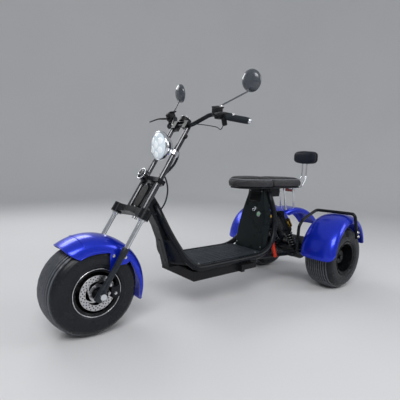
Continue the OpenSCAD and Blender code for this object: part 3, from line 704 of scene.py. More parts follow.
def seat_form(start, end, shrink):
    """Closed form of one cushion between two shares of the seat's length, a little small."""
    long, wide, tall = (np.array(c) for c in zip(*SEAT_ROWS))
    t = np.linspace(0, 1, 40)
    t = start + (end - start) * (t - np.sin(2 * np.pi * t) / (2 * np.pi) * 0.8)
    half = SEAT_HALF * np.interp(t, long, wide) - shrink
    high = SEAT_THICK * np.interp(t, long, tall) - shrink
    a = np.linspace(0, np.pi, 25)
    across = np.sign(np.cos(a)) * np.abs(np.cos(a)) ** (2 / 4.6)
    rise = np.sin(a) ** (2 / 4.6)
    verts = []
    for x, w, h in zip(SEAT_FRONT - SEAT_LONG * t, half, high):
        verts += [(x, w * c, SEAT_Z + 0.003 + (h - 0.003) * r) for c, r in zip(across, rise)]
        verts += [(x, w * c, SEAT_Z + 0.0015) for c in across[::-1] * 0.97]
    ring = 2 * len(a)
    faces = [f[::-1] for f in sheet_faces(len(t), ring, False, True)]
    return verts, [*faces, tuple(range(ring)), tuple(range(len(verts) - ring, len(verts)))[::-1]]


def seam_line(piece, centre, reach, height, count=72, sunk=0.0):
    """Closed line round a cushion at one height, found on its skin from outside."""
    faces = [tuple(p.vertices) for p in piece.data.polygons]
    skin = BVHTree.FromPolygons([v.co for v in piece.data.vertices], faces)
    line = []
    for a in 2 * np.pi * np.arange(count) / count:
        out = Vector((reach[0] * math.cos(a), reach[1] * math.sin(a), 0))
        target = Vector(centre) + 0.55 * out
        spot = Vector(centre) + 1.6 * out
        target.z = spot.z = height
        hit = skin.ray_cast(spot, (target - spot).normalized())[0] or target
        line.append(hit - sunk * out.normalized())
    return np.array(line)


def stitch_tree():
    """Short thread lying along its point's direction."""
    tree, given = new_tree("stitch", Length="Float", Radius="Float", Finish="Material")
    thread = given["Radius"].node(
        "GeometryNodeMeshUVSphere", {"Segments": 8, "Rings": 6, "Radius": given["Radius"]}
    )
    shape = thread.node("CombineXYZ", {"X": 1.0, "Y": 1.0, "Z": given["Length"] / given["Radius"] * 0.5})
    thread = thread.node("GeometryNodeTransform", {"Geometry": thread, "Scale": shape})
    soft = thread.node("GeometryNodeSetShadeSmooth", {"Geometry": thread})
    return close_tree(tree, on_points(soft, given), given["Finish"])


STITCH = stitch_tree()


def stitches(name, line, body):
    """Thread every 7 mm along a closed line."""
    loop = np.vstack([line, line[:1]])
    run = np.r_[0, np.cumsum(np.linalg.norm(np.diff(loop, axis=0), axis=1))]
    at = np.arange(0, run[-1], 0.007)
    spots = np.stack([np.interp(at, run, loop[:, i]) for i in range(3)], 1)
    ways = np.roll(spots, -1, 0) - np.roll(spots, 1, 0)
    piece = grow(name, STITCH, list(zip(spots, ways)), Length=0.0048, Radius=0.0006, Finish=highlight_piping_vinyl)
    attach(piece, body)


for name, start, end, middle, reach in [
    ("rider_cushion", 0.0, 0.474, 0.24, (0.21, 0.15)),
    ("passenger_cushion", 0.476, 1.0, 0.74, (0.24, 0.15)),
]:
    cushion = put(name, vinyl, seat_form(start, end, 0.004))
    swell(cushion, 0.007, SEAT_Z)
    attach(cushion, "frame")
    if name == "rider_cushion":
        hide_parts("seat")
    centre = (SEAT_FRONT - SEAT_LONG * middle, 0, SEAT_Z)
    edge = seam_line(cushion, centre, reach, SEAT_Z + 0.050, 96)
    welt = put(name + "_piping", highlight_piping_vinyl, tube(through(edge, 2, True), 0.0028, 8, True))
    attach(welt, "frame")
    stitches(name + "_thread", seam_line(cushion, centre, reach, SEAT_Z + 0.042, 96), "frame")
    edge = seam_line(cushion, centre, reach, SEAT_Z + 0.007, 96, 0.001)
    welt = put(name + "_hem", vinyl, tube(through(edge, 2, True), 0.0025, 8, True))
    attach(welt, "frame")

# Backrest: a small stuffed pad in blue-black vinyl, drawn over a moulded back shell with a groove
# between them, and carried on two bent chromed rods from under the seat.
BACK_FRONT, BACK_Z = FRONT_X - 1.730 + 0.031, 0.931
BACK_THICK, BACK_HALF_W, BACK_HALF_H = 0.062, 0.103, 0.051
bends = [(1.500, 0.042, 0.6958), (1.604, 0.042, 0.6958), (1.660, 0.036, 0.708), (1.716, 0.024, 0.764)]
bends += [(1.730, 0.020, 0.800), (1.730, 0.020, 0.886)]
posts = [tube(through([(FRONT_X - a, y * b, c) for a, b, c in bends], 8), 0.006, 14) for y in (1, -1)]
rods = put("backrest_rods", chrome, *posts)
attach(rods, "frame")
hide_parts("backrest_posts")
navy_vinyl = material(
    "navy_vinyl",
    pressed(10.0, (0.004, 0.0055, 0.011), (0.012, 0.0155, 0.027), (0.30, 0.48), 0.3, 0.0006),
    Specular_IOR_Level=0.22,
)


def pad_form(rings, shrink):
    """Closed form through rings: share of the depth from the front and share of the outline."""
    ring = 64
    a = 2 * np.pi * (np.arange(ring) + 0.5) / ring
    side = np.sign(np.cos(a)) * np.abs(np.cos(a)) ** (2 / 3.6)
    rise = np.sign(np.sin(a)) * np.abs(np.sin(a)) ** (2 / 3.6)
    verts = []
    for deep, share in rings:
        high = BACK_HALF_H * (1 - (1 - share) * 1.4) - shrink
        wide = BACK_HALF_W * share - shrink
        verts += [(BACK_FRONT - BACK_THICK * deep, wide * y, BACK_Z + high * z) for y, z in zip(side, rise)]
    return verts, capped(len(rings), ring)


rings = [(0.03, 0.62), (0.06, 0.80), (0.15, 0.93), (0.32, 0.99), (0.50, 1), (0.62, 0.97), (0.67, 0.91)]
pad = put("backrest_cushion", navy_vinyl, pad_form(rings, 0.003))
swell(pad, 0.006)
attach(pad, "frame")
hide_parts("backrest_pad")
rings = [(0.675, 0.86), (0.69, 0.90), (0.71, 0.93), (0.74, 0.96), (0.80, 0.97), (0.90, 0.96), (0.96, 0.92)]
rings += [(0.985, 0.87), (1, 0.78)]
shell = put("backrest_shell", moulded_black, pad_form(rings, 0.0))
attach(shell, "frame")

# Under the seat: a black moulded control box bolted to the pan, four chromed struts with round
# knobs, and a red tail lamp on the rear edge.
dress(moulded_black, "underseat_box")
dress(chrome, "seat_struts")
lamp_red = material(
    "lamp_red",
    clouded((30.0, 5.0, 0.65), (0.28, 0.003, 0.003), (0.50, 0.008, 0.006), (0.08, 0.18)),
    Coat_Weight=1.0,
)
dress(lamp_red, "tail_lamp")

# Rear axle and spring dampers: a black axle tube with a round gear case, and on each side a damper
# with a wound steel spring, a black rod and a gold gas bottle.
dress(frame_black, "rear_axle", "shock_dampers")
DYED = (30.0, 5.0, 0.65)
gold = material(
    "gold_anodised", clouded(DYED, (0.62, 0.34, 0.03), (0.90, 0.58, 0.10), (0.2, 0.34)), Metallic=1.0
)
red = material(
    "red_anodised", clouded(DYED, (0.46, 0.020, 0.008), (0.78, 0.055, 0.018), (0.2, 0.34)), Metallic=0.5
)
dress(gold, "shock_reservoirs")
dress(red, "red_pegs")


def spring_tree():
    """Wire wound about each point's direction."""
    tree, given = new_tree(
        "spring", Turns="Float", Radius="Float", Wire="Float", Length="Float", Finish="Material"
    )
    winding = given["Radius"].node(
        "GeometryNodeCurveSpiral",
        {
            "Resolution": 40, "Rotations": given["Turns"], "Start Radius": given["Radius"],
            "End Radius": given["Radius"], "Height": given["Length"],
        },
    )
    ring = given["Wire"].node("GeometryNodeCurvePrimitiveCircle", {"Resolution": 12, "Radius": given["Wire"]})
    wire = winding.node(
        "GeometryNodeCurveToMesh", {"Curve": winding, "Profile Curve": ring, "Fill Caps": True}
    )
    soft = wire.node("GeometryNodeSetShadeSmooth", {"Geometry": wire})
    return close_tree(tree, on_points(soft, given), given["Finish"])


def both(point):
    """A point and its mirror image."""
    return [Vector((point[0], y * point[1], point[2])) for y in (1, -1)]


spring_black = material(
    "spring_black",
    clouded((40.0, 4.0, 0.6), (0.010, 0.011, 0.013), (0.030, 0.031, 0.035), (0.16, 0.30)),
    Coat_Weight=0.8, Coat_Roughness=0.06,
)
foot, head = Vector((REAR_X + 0.118, 0.084, 0.238)), Vector((REAR_X + 0.312, 0.084, 0.516))
lean = (head - foot).normalized()
springs = grow(
    "damper_springs", spring_tree(), [(point, lean) for point in both(foot + 0.040 * lean)],
    Turns=6.0, Radius=0.025, Wire=0.004, Length=0.144, Finish=spring_black,
)
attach(springs, "frame")
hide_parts("shock_springs")

# Mudguards: drawn sheet-steel arches with a rolled edge, in deep blue gloss enamel under a clear
# coat. The front one turns with the fork on two flat stays; the others are bolted to the frame.
GUARD_T = 0.004


def blue_vary(start):
    at = start.node("TexCoord", out="Object")
    flake = start.node("TexVoronoi", {"Vector": at, "Scale": 2600.0}, out="Color")
    spark = flake.node("SeparateColor", {"Color": flake})
    cloud = grain(start, 9.0)
    return {
        "Base Color": tint(spark * 0.5 + cloud * 0.5, (0.003, 0.015, 0.42), (0.010, 0.045, 0.80)),
        "Roughness": ramp(spark, 0, 1, 0.22, 0.32),
        "Normal": bump(grain(start, 420.0), 0.05, 0.0004),
    }


guard_blue = material("guard_blue", blue_vary, Metallic=0.55, Coat_Weight=0.4, Coat_Roughness=0.04)


class Arch:
    """A guard's skin: a point on it by its share along and its angle over the arch."""

    def __init__(self, centre, radius, left, right, skirt, ends, cut, flat=0.8):
        self.centre, self.radius, self.ends, self.cut, self.flat = centre, radius, ends, cut, flat
        self.tables = [np.array(t).T for t in (left, right, skirt)]

    def at(self, t, a, inset=0.0):
        left, right, skirt = (np.interp(t, *table) for table in self.tables)
        drop = 1 - math.sin(a) ** self.flat if 0 < a < math.pi else 1.0
        first, last = self.ends[0] + self.cut * drop**2, self.ends[1] - self.cut * drop**2
        turn = math.radians(first + (last - first) * t)
        out = self.radius - inset - (skirt - inset) * drop
        half = (left if a < math.pi / 2 else right) - inset
        across = math.copysign(abs(math.cos(a)) ** self.flat, math.cos(a)) * half
        return Vector(self.centre) + Vector((out * math.cos(turn), across, out * math.sin(turn)))

    def shapes(self, steps=110, cells=48):
        along = np.linspace(0, 1, steps + 1)
        over = np.linspace(0, math.pi, cells + 1)
        skin = []
        for t in along:
            skin += [self.at(t, a) for a in over] + [self.at(t, a, GUARD_T) for a in over[::-1]]
        rim = [self.at(t, 0.0, GUARD_T / 2) for t in along]
        rim += [self.at(1.0, a, GUARD_T / 2) for a in over[1:-1]]
        rim += [self.at(t, math.pi, GUARD_T / 2) for t in along[::-1]]
        rim += [self.at(0.0, a, GUARD_T / 2) for a in over[::-1][1:-1]]
        return [(skin, folded(steps + 1, cells)), tube(rim, 0.0031, 8, True)]


half = [(0, 0.113), (0.2, 0.1165), (0.7, 0.1165), (1, 0.102)]
skirt = [(0, 0.078), (0.25, 0.074), (0.55, 0.057), (0.75, 0.057), (1, 0.028)]
front_arch = Arch((FRONT_X, 0, AXLE_Z), 0.2695, half, half, skirt, (57, 201), 8)
half = [(0, 0.085), (1, 0.085)]
skirt = [(0, 0.040), (1, 0.040)]
centre_arch = Arch((FRONT_X - 1.560, 0, 0.153), 0.400, half, half, skirt, (70, 142), 5, 0.4)
inner = [(0, 0.134), (1, 0.128)]
outer = [(0, 0.134), (0.25, 0.126), (0.5, 0.106), (1, 0.074)]
skirt = [(0, 0.046), (0.3, 0.050), (0.6, 0.056), (1, 0.034)]
left_arch = Arch((REAR_X, 0.367, 0.2515), 0.2850, outer, inner, skirt, (-1, 170), 12)
right_arch = Arch((REAR_X, -0.367, 0.2515), 0.2850, inner, outer, skirt, (-1, 170), 12)
for name, arch, body, node in [
    ("front_mudguard", front_arch, "fork", "front_guard"),
    ("middle_mudguard", centre_arch, "frame", "centre_guard"),
    ("left_mudguard", left_arch, "frame", "rear_guard_left"),
    ("right_mudguard", right_arch, "frame", "rear_guard_right"),
]:
    shapes = arch.shapes()
    if name == "front_mudguard":
        shapes.append(tube([arch.at(0.125, a) for a in np.linspace(0.5, math.pi - 0.5, 40)], 0.0028, 8))
    guard = put(name, guard_blue, *shapes)
    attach(guard, body)
    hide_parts(node)

# Hoops: one bent black tube on each side. It leaves the subframe's arm, rises before the tyre,
# passes over the mudguard and ends on its outer side, where two bolts hold it.
bends = [(0.262, 0.132, 0.228), (0.262, 0.178, 0.228), (0.262, 0.203, 0.246), (0.260, 0.209, 0.290)]
bends += [(0.258, 0.209, 0.420), (0.246, 0.210, 0.456), (0.212, 0.211, 0.488), (0.090, 0.213, 0.538)]
bends += [(0.062, 0.222, 0.548), (0.046, 0.245, 0.5485), (0.000, 0.440, 0.5485), (-0.006, 0.470, 0.543)]
bends += [(-0.012, 0.484, 0.512), (-0.052, 0.486, 0.372)]
hoops = [tube(through([(REAR_X + a, y * b, c) for a, b, c in bends], 8), 0.011, 16) for y in (1, -1)]
hoop = put("guard_tubes", frame_black, *hoops)
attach(hoop, "frame")
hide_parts("guard_hoops")
bolts(
    "hoop_bolts", "frame", 0.014,
    [((REAR_X + x, y * 0.4975, z), (0, y, 0)) for x, z in ((-0.038, 0.420), (-0.047, 0.390)) for y in (1, -1)],
)

# Mudguard stays: two flat blue plates, cut from the same sheet as the front guard and bolted
# between its skirt and the fork's sliders.


def plate(outline, low, high):
    """Flat plate in the fork's plane between two places across."""
    return prism([up_fork(n, 0, s).xz for n, s in outline], low, high)


corners = [(0.046, 0.186), (0.032, 0.202), (-0.026, 0.234), (-0.060, 0.206), (-0.058, 0.182)]
corners += [(-0.024, 0.156), (-0.014, 0.114), (-0.006, 0.106), (0.004, 0.112), (0.016, 0.136)]
outline = through([(n, 0, s) for n, s in corners], 4, True)[:, [0, 2]]
stays = put(
    "mudguard_stays", guard_blue, plate(outline, 0.1170, 0.1197), plate(outline, -0.1197, -0.1170), smooth=False
)
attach(stays, "fork")
bolts(
    "stay_bolts", "fork", 0.011,
    [(up_fork(n, y * 0.1198, s), (0, y, 0)) for n, s in ((0.026, 0.188), (-0.034, 0.206)) for y in (1, -1)],
)

# Tyres: wide low-pressure rubber with eleven zigzag grooves round the tread, one edge of each groove
# painted light grey as a highlight and the groove floors painted darker as shade, plain bulging side
# walls with moulded rings, and a bead that sits in the rim.


def rubber_vary(start):
    dust = grain(start, 14.0, 6.0, 0.65)
    # This attribute paints a light grey highlight along one edge of each tread groove and painted shade on the
    # groove floors.
    worn = start.node("Attribute", out="Fac", attribute_name="worn")
    return {
        "Base Color": tint(dust * 0.07 + worn * 0.93, (0.0035, 0.0045, 0.0065), (0.165, 0.175, 0.20)),
        "Roughness": ramp(dust, 0.3, 0.75, 0.20, 0.36),
        "Normal": bump(grain(start, 900.0), 0.2, 0.0004),
    }


rubber = material("tyre_rubber", rubber_vary, Specular_IOR_Level=0.22)
TYRE_STEPS, TYRE_HALF, WALL_MID, WALL_RISE, SQUARE = 288, 0.110, 0.15732, 0.07018, 2.8
# Painted light level of each mark: 0 side wall, 1 painted highlight along one groove edge, 2 painted shade on the
# groove floor, 3 rib top and the other groove edge.
GROOVE_LIGHT_LEVELS = (0.03, 0.85, 0.0, 0.02)


def tyre_profile():
    """Place across, radius and painted-light mark from bead to bead."""

    def crown(y):
        return WALL_MID + WALL_RISE * (1 - (abs(y) / TYRE_HALF) ** SQUARE) ** (1 / SQUARE)

    wall = []
    for a in np.radians(np.linspace(-38.5, 40, 60)):
        y = TYRE_HALF * math.cos(a) ** (2 / SQUARE)
        r = WALL_MID + WALL_RISE * math.copysign(abs(math.sin(a)) ** (2 / SQUARE), a)
        for ring, high in ((0.190, 0.0012), (0.184, 0.0008), (0.140, 0.0014), (0.128, 0.0010)):
            y += high * math.exp(-(((r - ring) / 0.0014) ** 2))
        wall.append((y, r, 0))
    tread = []
    for c in np.linspace(0.083, -0.083, 11):
        tread += [(c + 0.0042, crown(c + 0.0042), 3), (c + 0.0030, crown(c) - 0.006, 2)]
        tread += [(c - 0.0030, crown(c) - 0.006, 2), (c - 0.0042, crown(c - 0.0042), 1)]
        if c > -0.080:
            tread += [(c - 0.0083, crown(c - 0.0083) + 0.0004, 3)]
    return [*wall, *tread, *[(-y, r, mark) for y, r, mark in wall[::-1]]]


def tyre(middle):
    """Tread and side walls turned about the axle, the marked rows in a zigzag."""
    zig = 0.0010 * (2 * np.abs((np.arange(TYRE_STEPS) / 4) % 2 - 1) - 1)
    verts = []
    for y, r, mark in tyre_profile():
        for k, a in enumerate(2 * np.pi * np.arange(TYRE_STEPS) / TYRE_STEPS):
            shift = zig[k] if mark else 0.0
            verts.append((middle.x + r * math.cos(a), middle.y + y + shift, middle.z + r * math.sin(a)))
    return verts, sheet_faces(len(verts) // TYRE_STEPS, TYRE_STEPS, True, True)


HUBS = {
    "front": Vector((FRONT_X, 0, AXLE_Z)),
    "rear_left": Vector((REAR_X, 0.340, AXLE_Z)),
    "rear_right": Vector((REAR_X, -0.340, AXLE_Z)),
}
for side, middle in HUBS.items():
    piece = put(side + "_tread", rubber, tyre(middle))
    worn = piece.data.attributes.new("worn", "FLOAT", "POINT")
    marks = [GROOVE_LIGHT_LEVELS[mark] for _, _, mark in tyre_profile()]
    worn.data.foreach_set("value", np.repeat(marks, TYRE_STEPS))
    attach(piece, side + "_wheel")
    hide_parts(side + "_tyre")

# Rims: deep pressed wheels in gloss black with a rolled edge on each flange; on the front one these
# edges are bright zinc, a painted highlight on the black lip. A ring of bolts holds each rear one to its hub.
rim_black = material(
    "rim_black",
    clouded((20.0, 5.0, 0.6), (0.003, 0.0033, 0.0040), (0.010, 0.0105, 0.0125), (0.20, 0.38)),
    Specular_IOR_Level=0.25,
)
dress(rim_black, "front_rim", "rear_left_rim", "rear_right_rim")
AXLE_TURN = Matrix.Rotation(-math.pi / 2, 4, "X")


def bead(radius, wire, high=0.0):
    """Section of a round ring."""
    return [(radius + wire * math.cos(a), high + wire * math.sin(a)) for a in np.arange(10) * math.pi / 5]


for side, middle in HUBS.items():
    flanges = [Matrix.Translation(middle + Vector((0, y, 0))) @ AXLE_TURN for y in (0.1052, -0.1052)]
    rings = [lathe(bead(0.1172, 0.0024), 128, place, True) for place in flanges]
    if side != "front":
        rings.append(lathe(bead(0.062, 0.0022, 0.001), 96, Matrix.Translation(middle) @ AXLE_TURN, True))
    # On the front wheel the bright zinc edge is a painted highlight on the black rim lip.
    lip = put(side + "_rim_edge", zinc if side == "front" else rim_black, *rings)
    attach(lip, side + "_wheel")
    if side != "front":
        ring = [(0.074 * math.cos(a), 0.074 * math.sin(a)) for a in np.arange(10) * math.pi / 5]
        bolts(
            side + "_rim_bolts", side + "_wheel", 0.012,
            [(middle + Vector((x, -0.0045, z)), (0, 1, 0)) for x, z in ring],
        )

# Front brake and axle: a drilled stainless disc on five swept arms, bolted to the hub, a black
# two-piston caliper on the left slider, and a bright axle with hexagon nuts.


def disc_vary(start):
    at = start.node("TexCoord", out="Object")
    away = at.node("VectorMath", {0: at, 1: (FRONT_X, 0, AXLE_Z)}, out="Vector", operation="SUBTRACT")
    radius = away.node("VectorMath", {0: away}, out="Value", operation="LENGTH")
    rings = radius.node("TexNoise", {"W": radius, "Scale": 2600.0, "Detail": 3.0}, noise_dimensions="1D")
    return {
        "Base Color": tint(rings, (0.46, 0.46, 0.47), (0.74, 0.74, 0.76)),
        "Roughness": ramp(rings, 0.3, 0.7, 0.20, 0.38),
        "Normal": bump(rings, 0.2, 0.0003),
    }


HUB = Vector((FRONT_X, 0.106, AXLE_Z))
ARMS, ARM_STEP = 5, 1.2566
shapes = []
for low, high in ((0.0590, 0.0870), (0.0285, 0.0430)):
    ring = [(low, -0.002), (high - 0.0004, -0.002), (high, -0.0016)]
    ring += [(high, 0.0016), (high - 0.0004, 0.002), (low, 0.002)]
    shapes.append(lathe(ring, 128, Matrix.Translation(HUB) @ AXLE_TURN, True))
for k in range(ARMS):
    sides = []
    for lead in (-1, 1):
        reach = np.linspace(0.040, 0.062, 8)
        sweep = [(r, ARM_STEP * k + 0.9 * (r - 0.04) / 0.022 + lead * 0.0075 / r) for r in reach]
        sides.append([(HUB.x + r * math.cos(a), HUB.z + r * math.sin(a)) for r, a in sweep])
    shapes.append(prism([*sides[0], *sides[1][::-1]], HUB.y - 0.0019, HUB.y + 0.0019))
disc = put("drilled_disc", material("disc_steel", disc_vary, Metallic=1.0), *shapes, smooth=False)
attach(disc, "front_wheel")
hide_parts("brake_disc")
dress(frame_black, "brake_caliper")
dress(chrome, "front_axle")


def hole_tree():
    """Shallow dark drilling at each point."""
    tree, given = new_tree("drilling", Radius="Float", Finish="Material")
    pit = given["Radius"].node(
        "GeometryNodeMeshCylinder", {"Vertices": 16, "Radius": given["Radius"], "Depth": 0.0006}
    )
    return close_tree(tree, on_points(pit, given), given["Finish"])


HOLES = 22
drilled = []
for k in range(HOLES):
    for row, r in enumerate((0.0645, 0.0730, 0.0815)):
        a = 2 * math.pi * (k + row % 2 / 2) / HOLES
        x, z = FRONT_X + r * math.cos(a), AXLE_Z + r * math.sin(a)
        drilled += [((x, y, z), (0, 1, 0)) for y in (0.1041, 0.1080)]
holes = grow("disc_drillings", hole_tree(), drilled, Radius=0.0032, Finish=rim_black)
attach(holes, "front_wheel")
ring = [(0.036 * math.cos(a), 0.036 * math.sin(a)) for a in np.arange(ARMS) * ARM_STEP]
bolts("disc_bolts", "front_wheel", 0.009, [((FRONT_X + x, 0.108, AXLE_Z + z), (0, 1, 0)) for x, z in ring])
low, high = (Vector(c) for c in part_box("brake_caliper"))
spots = [(0.3, 0.25), (0.72, 0.32), (0.62, 0.78)]
bolts(
    "caliper_bolts", "fork", 0.010,
    [((low.x + a * (high.x - low.x), high.y + 0.0002, low.z + b * (high.z - low.z)), (0, 1, 0)) for a, b in spots],
)

# Fork: dark slate sliders on bright chromed stanchions, a black lower clamp, brushed steel uprights
# and an upper yoke, all turning on the stem in the frame's head tube. A thin rod stands at its left.
slate = material(
    "slate_enamel",
    clouded((18.0, 4.0, 0.6), (0.010, 0.013, 0.018), (0.024, 0.030, 0.038), (0.24, 0.40)),
    Specular_IOR_Level=0.3,
)


def brushed_vary(start):
    at = start.node("TexCoord", out="Object")
    long = start.node("Mapping", {"Vector": at, "Rotation": (0, RAKE, 0), "Scale": (900.0, 900.0, 6.0)})
    lines = start.node("TexNoise", {"Vector": long, "Scale": 1.0, "Detail": 3.0})
    return {
        "Base Color": tint(lines, (0.060, 0.062, 0.068), (0.165, 0.165, 0.172)),
        "Roughness": ramp(lines, 0.3, 0.7, 0.18, 0.36),
        "Normal": bump(lines, 0.1, 0.0003),
    }


brushed = material("brushed_steel", brushed_vary, Metallic=1.0)
dress(chrome, "steering_stem")
LEG_HALF, LEG_TOP, CLAMP_LOW, CLAMP_HIGH = 0.142, 0.236, 0.404, 0.456
leg = [(0.0, -0.034), (0.015, -0.034), (0.0200, -0.028), (0.0205, 0.018), (0.0175, 0.044), (0.0148, 0.070)]
leg += [(0.0142, 0.090), (0.0142, 0.100), (0.0146, LEG_TOP - 0.040), (0.0146, LEG_TOP - 0.034)]
leg += [(0.0172, LEG_TOP - 0.028), (0.0178, LEG_TOP - 0.024), (0.0178, LEG_TOP + 0.004), (0.0172, LEG_TOP + 0.008)]
leg += [(0.0160, LEG_TOP + 0.010), (0.0124, LEG_TOP + 0.010), (0.0124, LEG_TOP - 0.050), (0.0, LEG_TOP - 0.050)]
shine = [(0.0, LEG_TOP - 0.048), (0.0120, LEG_TOP - 0.048), (0.0120, LEG_TOP - 0.047)]
shine += [(0.0120, CLAMP_LOW - 0.013), (0.0120, CLAMP_LOW - 0.012), (0.0162, CLAMP_LOW - 0.011)]
shine += [(0.0166, CLAMP_LOW - 0.010), (0.0166, CLAMP_LOW - 0.001), (0.0166, CLAMP_LOW), (0.0120, CLAMP_LOW + 0.001)]
shine += [(0.0120, CLAMP_HIGH - 0.001), (0.0120, CLAMP_HIGH), (0.0, CLAMP_HIGH)]
legs, rods = [], []
for y in (LEG_HALF, -LEG_HALF):
    place = facing(up_fork(0, y, 0), up_way)
    legs.append(lathe(leg, 40, place))
    rods.append(lathe(shine, 40, place))
sliders = put("fork_legs", slate, *legs)
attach(sliders, "fork")
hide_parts("fork_sliders")
tubes = put("fork_tubes", chrome, *rods)
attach(tubes, "fork")
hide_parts("fork_stanchions")
dress(frame_black, "lower_clamp", "upper_yoke")
dress(brushed, "uprights")
fore_way = up_fork(1, 0, 0) - up_fork(0, 0, 0)
bolts("yoke_bolts", "fork", 0.013, [(up_fork(-0.022, y, 0.6445), up_way) for y in (0.030, -0.030)])
knob = [(0.0, 0.0), (0.005, 0.0), (0.008, 0.005), (0.008, 0.016), (0.005, 0.022), (0.0, 0.023)]
rod_line = [up_fork(-0.024, 0.094, s) for s in (0.640, 0.78, 0.908)]
rod = put("side_rod", brushed, tube(rod_line, 0.003, 10))
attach(rod, "fork")
knob = put("side_rod_knob", moulded_black, lathe(knob, 20, facing(up_fork(-0.024, 0.094, 0.906), up_way)))
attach(knob, "fork")

# Lamp, horn and dial: a chromed lamp bucket with a lit lens of six round cells, a steel horn with a
# slotted black grille in a chromed rim, and a round speed dial with a bright ring.
dress(chrome, "headlamp_bucket")
dress(brushed, "horn")
low, high = (Vector(c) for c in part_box("headlamp_glass"))
LAMP = Vector((low.x + 0.016, 0, (low.z + high.z) / 2))
lens_r = (high.z - low.z) / 2 + 0.003


def lens_vary(start):
    at = start.node("TexCoord", out="Object")
    flute = start.node("TexWave", {"Vector": at, "Scale": 60.0, "Distortion": 0.6}, bands_direction="Y")
    cloud = grain(start, 22.0, 3.0, 0.5)
    mixed = flute * 0.35 + cloud * 0.65
    return {
        "Base Color": tint(mixed, (0.50, 0.60, 0.67), (0.70, 0.77, 0.81)),
        "Emission Color": tint(mixed, (0.42, 0.56, 0.66), (0.95, 0.98, 1.0)),
        "Roughness": ramp(cloud, 0.3, 0.75, 0.04, 0.10),
        "Normal": bump(flute, 0.15, 0.001),
    }


lit_lens = material("lit_lens", lens_vary, Emission_Strength=0.27, Coat_Weight=1.0, Coat_Roughness=0.02)


def cell_vary(start):
    cloud = grain(start, 60.0, 3.0, 0.5)
    return {
        "Base Color": tint(cloud, (0.66, 0.73, 0.77), (0.76, 0.81, 0.84)),
        "Emission Color": tint(cloud, (0.85, 0.93, 1.0), (1.0, 1.0, 1.0)),
        "Roughness": ramp(cloud, 0.3, 0.75, 0.03, 0.08),
    }


lit_cell = material("lit_cell", cell_vary, Emission_Strength=0.33, Coat_Weight=1.0, Coat_Roughness=0.02)
forward = Matrix.Rotation(math.pi / 2, 4, "Y")


def dome(x):
    """Height of the lens at a distance from its middle."""
    return 0.002 + 0.018 * max(0.0, 1 - (x / lens_r) ** 2) ** 0.8


rings = [(r, dome(r)) for r in np.linspace(0, lens_r - 0.0015, 24)]
lamp_place = Matrix.Translation(LAMP) @ forward
lens_back = [(0.0, -0.015), (lens_r - 0.0015, -0.015)]
lens = put("lamp_lens", lit_lens, lathe([*lens_back, *rings[::-1]], 96, lamp_place))
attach(lens, "fork")
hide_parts("headlamp_glass")
CELL_STEPS, CELL_RINGS = 32, (0.02, 0.25, 0.5, 0.75, 0.92, 1.0, 1.02)
cells = []
lit = [(0, 0.004, 0.021), (0.036, 0.026, 0.018), (-0.036, 0.026, 0.018)]
lit += [(0.036, -0.022, 0.018), (-0.036, -0.022, 0.018), (0, -0.046, 0.017)]
for y, z, size in lit:
    bulge = []
    for share in CELL_RINGS:
        for a in 2 * np.pi * np.arange(CELL_STEPS) / CELL_STEPS:
            b, c = y + share * size * math.cos(a), z + share * size * math.sin(a)
            rise = 0.0022 * (1 - share**4) if share <= 1 else -0.004
            bulge.append(LAMP + Vector((dome(math.hypot(b, c)) + rise, b, c)))
    cells.append((bulge, capped(len(CELL_RINGS), CELL_STEPS)))
lights = put("lamp_cells", lit_cell, *cells)
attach(lights, "fork")
edge = [(lens_r - 0.0012, -0.018), (lens_r + 0.005, -0.018), (lens_r + 0.0068, -0.012), (lens_r + 0.007, -0.003)]
edge += [(lens_r + 0.0055, 0.002), (lens_r + 0.002, 0.0045), (lens_r - 0.0012, 0.003)]
bezel = put("lamp_bezel", chrome, lathe(edge, 96, lamp_place, True))
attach(bezel, "fork")

horn_face = up_fork(0.0364, -0.028, 0.638)
horn_place = facing(horn_face, fore_way)
grille_face = [(0.0275, -0.001), (0.0275, 0.0), (0.0265, 0.0008), (0.0, 0.0008)]
grille = put("horn_grille", rim_black, lathe(grille_face, 48, horn_place))
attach(grille, "fork")
slots = [(horn_face + up_way * s + fore_way * 0.001, (0, 1, 0)) for s in np.linspace(-0.012, 0.012, 4)]
bars = grow("horn_bars", RIB, slots, Length=0.036, Radius=0.0014, Finish=brushed)
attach(bars, "fork")
rim = put("horn_rim", chrome, lathe(bead(0.0305, 0.0032), 64, horn_place, True))
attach(rim, "fork")

dress(moulded_black, "dial")
dial_face = material(
    "dial_face",
    clouded((30.0, 3.0, 0.5), (0.34, 0.33, 0.30), (0.52, 0.50, 0.45), (0.06, 0.14)),
    Coat_Weight=1.0, Coat_Roughness=0.03,
)
dial_top = facing(up_fork(-0.026, 0, 1.0402), up_way)
glass = [(0.0275, -0.001), (0.0275, 0.0002), (0.020, 0.0016), (0.0, 0.0022)]
face = put("dial_face", dial_face, lathe(glass, 48, dial_top))
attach(face, "fork")
ring = put("dial_ring", zinc, lathe(bead(0.0298, 0.0026, 0.001), 64, dial_top, True))
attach(ring, "fork")

# Handlebar: a bent black tube in a clamp, with ribbed rubber grips closed by bright plugs. Each
# side has a brake cylinder with its lever, a switch housing, and a round mirror on a thin stem.
dress(frame_black, "handlebar", "bar_clamp")
dress(mat_rubber, "grips")
BAR_MID = up_fork(-0.022, 0, 0.992)
elbow, tip = BAR_MID + Vector((-0.072, 0.168, 0.062)), BAR_MID + Vector((-0.158, 0.360, 0.026))
grip_way = (tip - elbow).normalized()


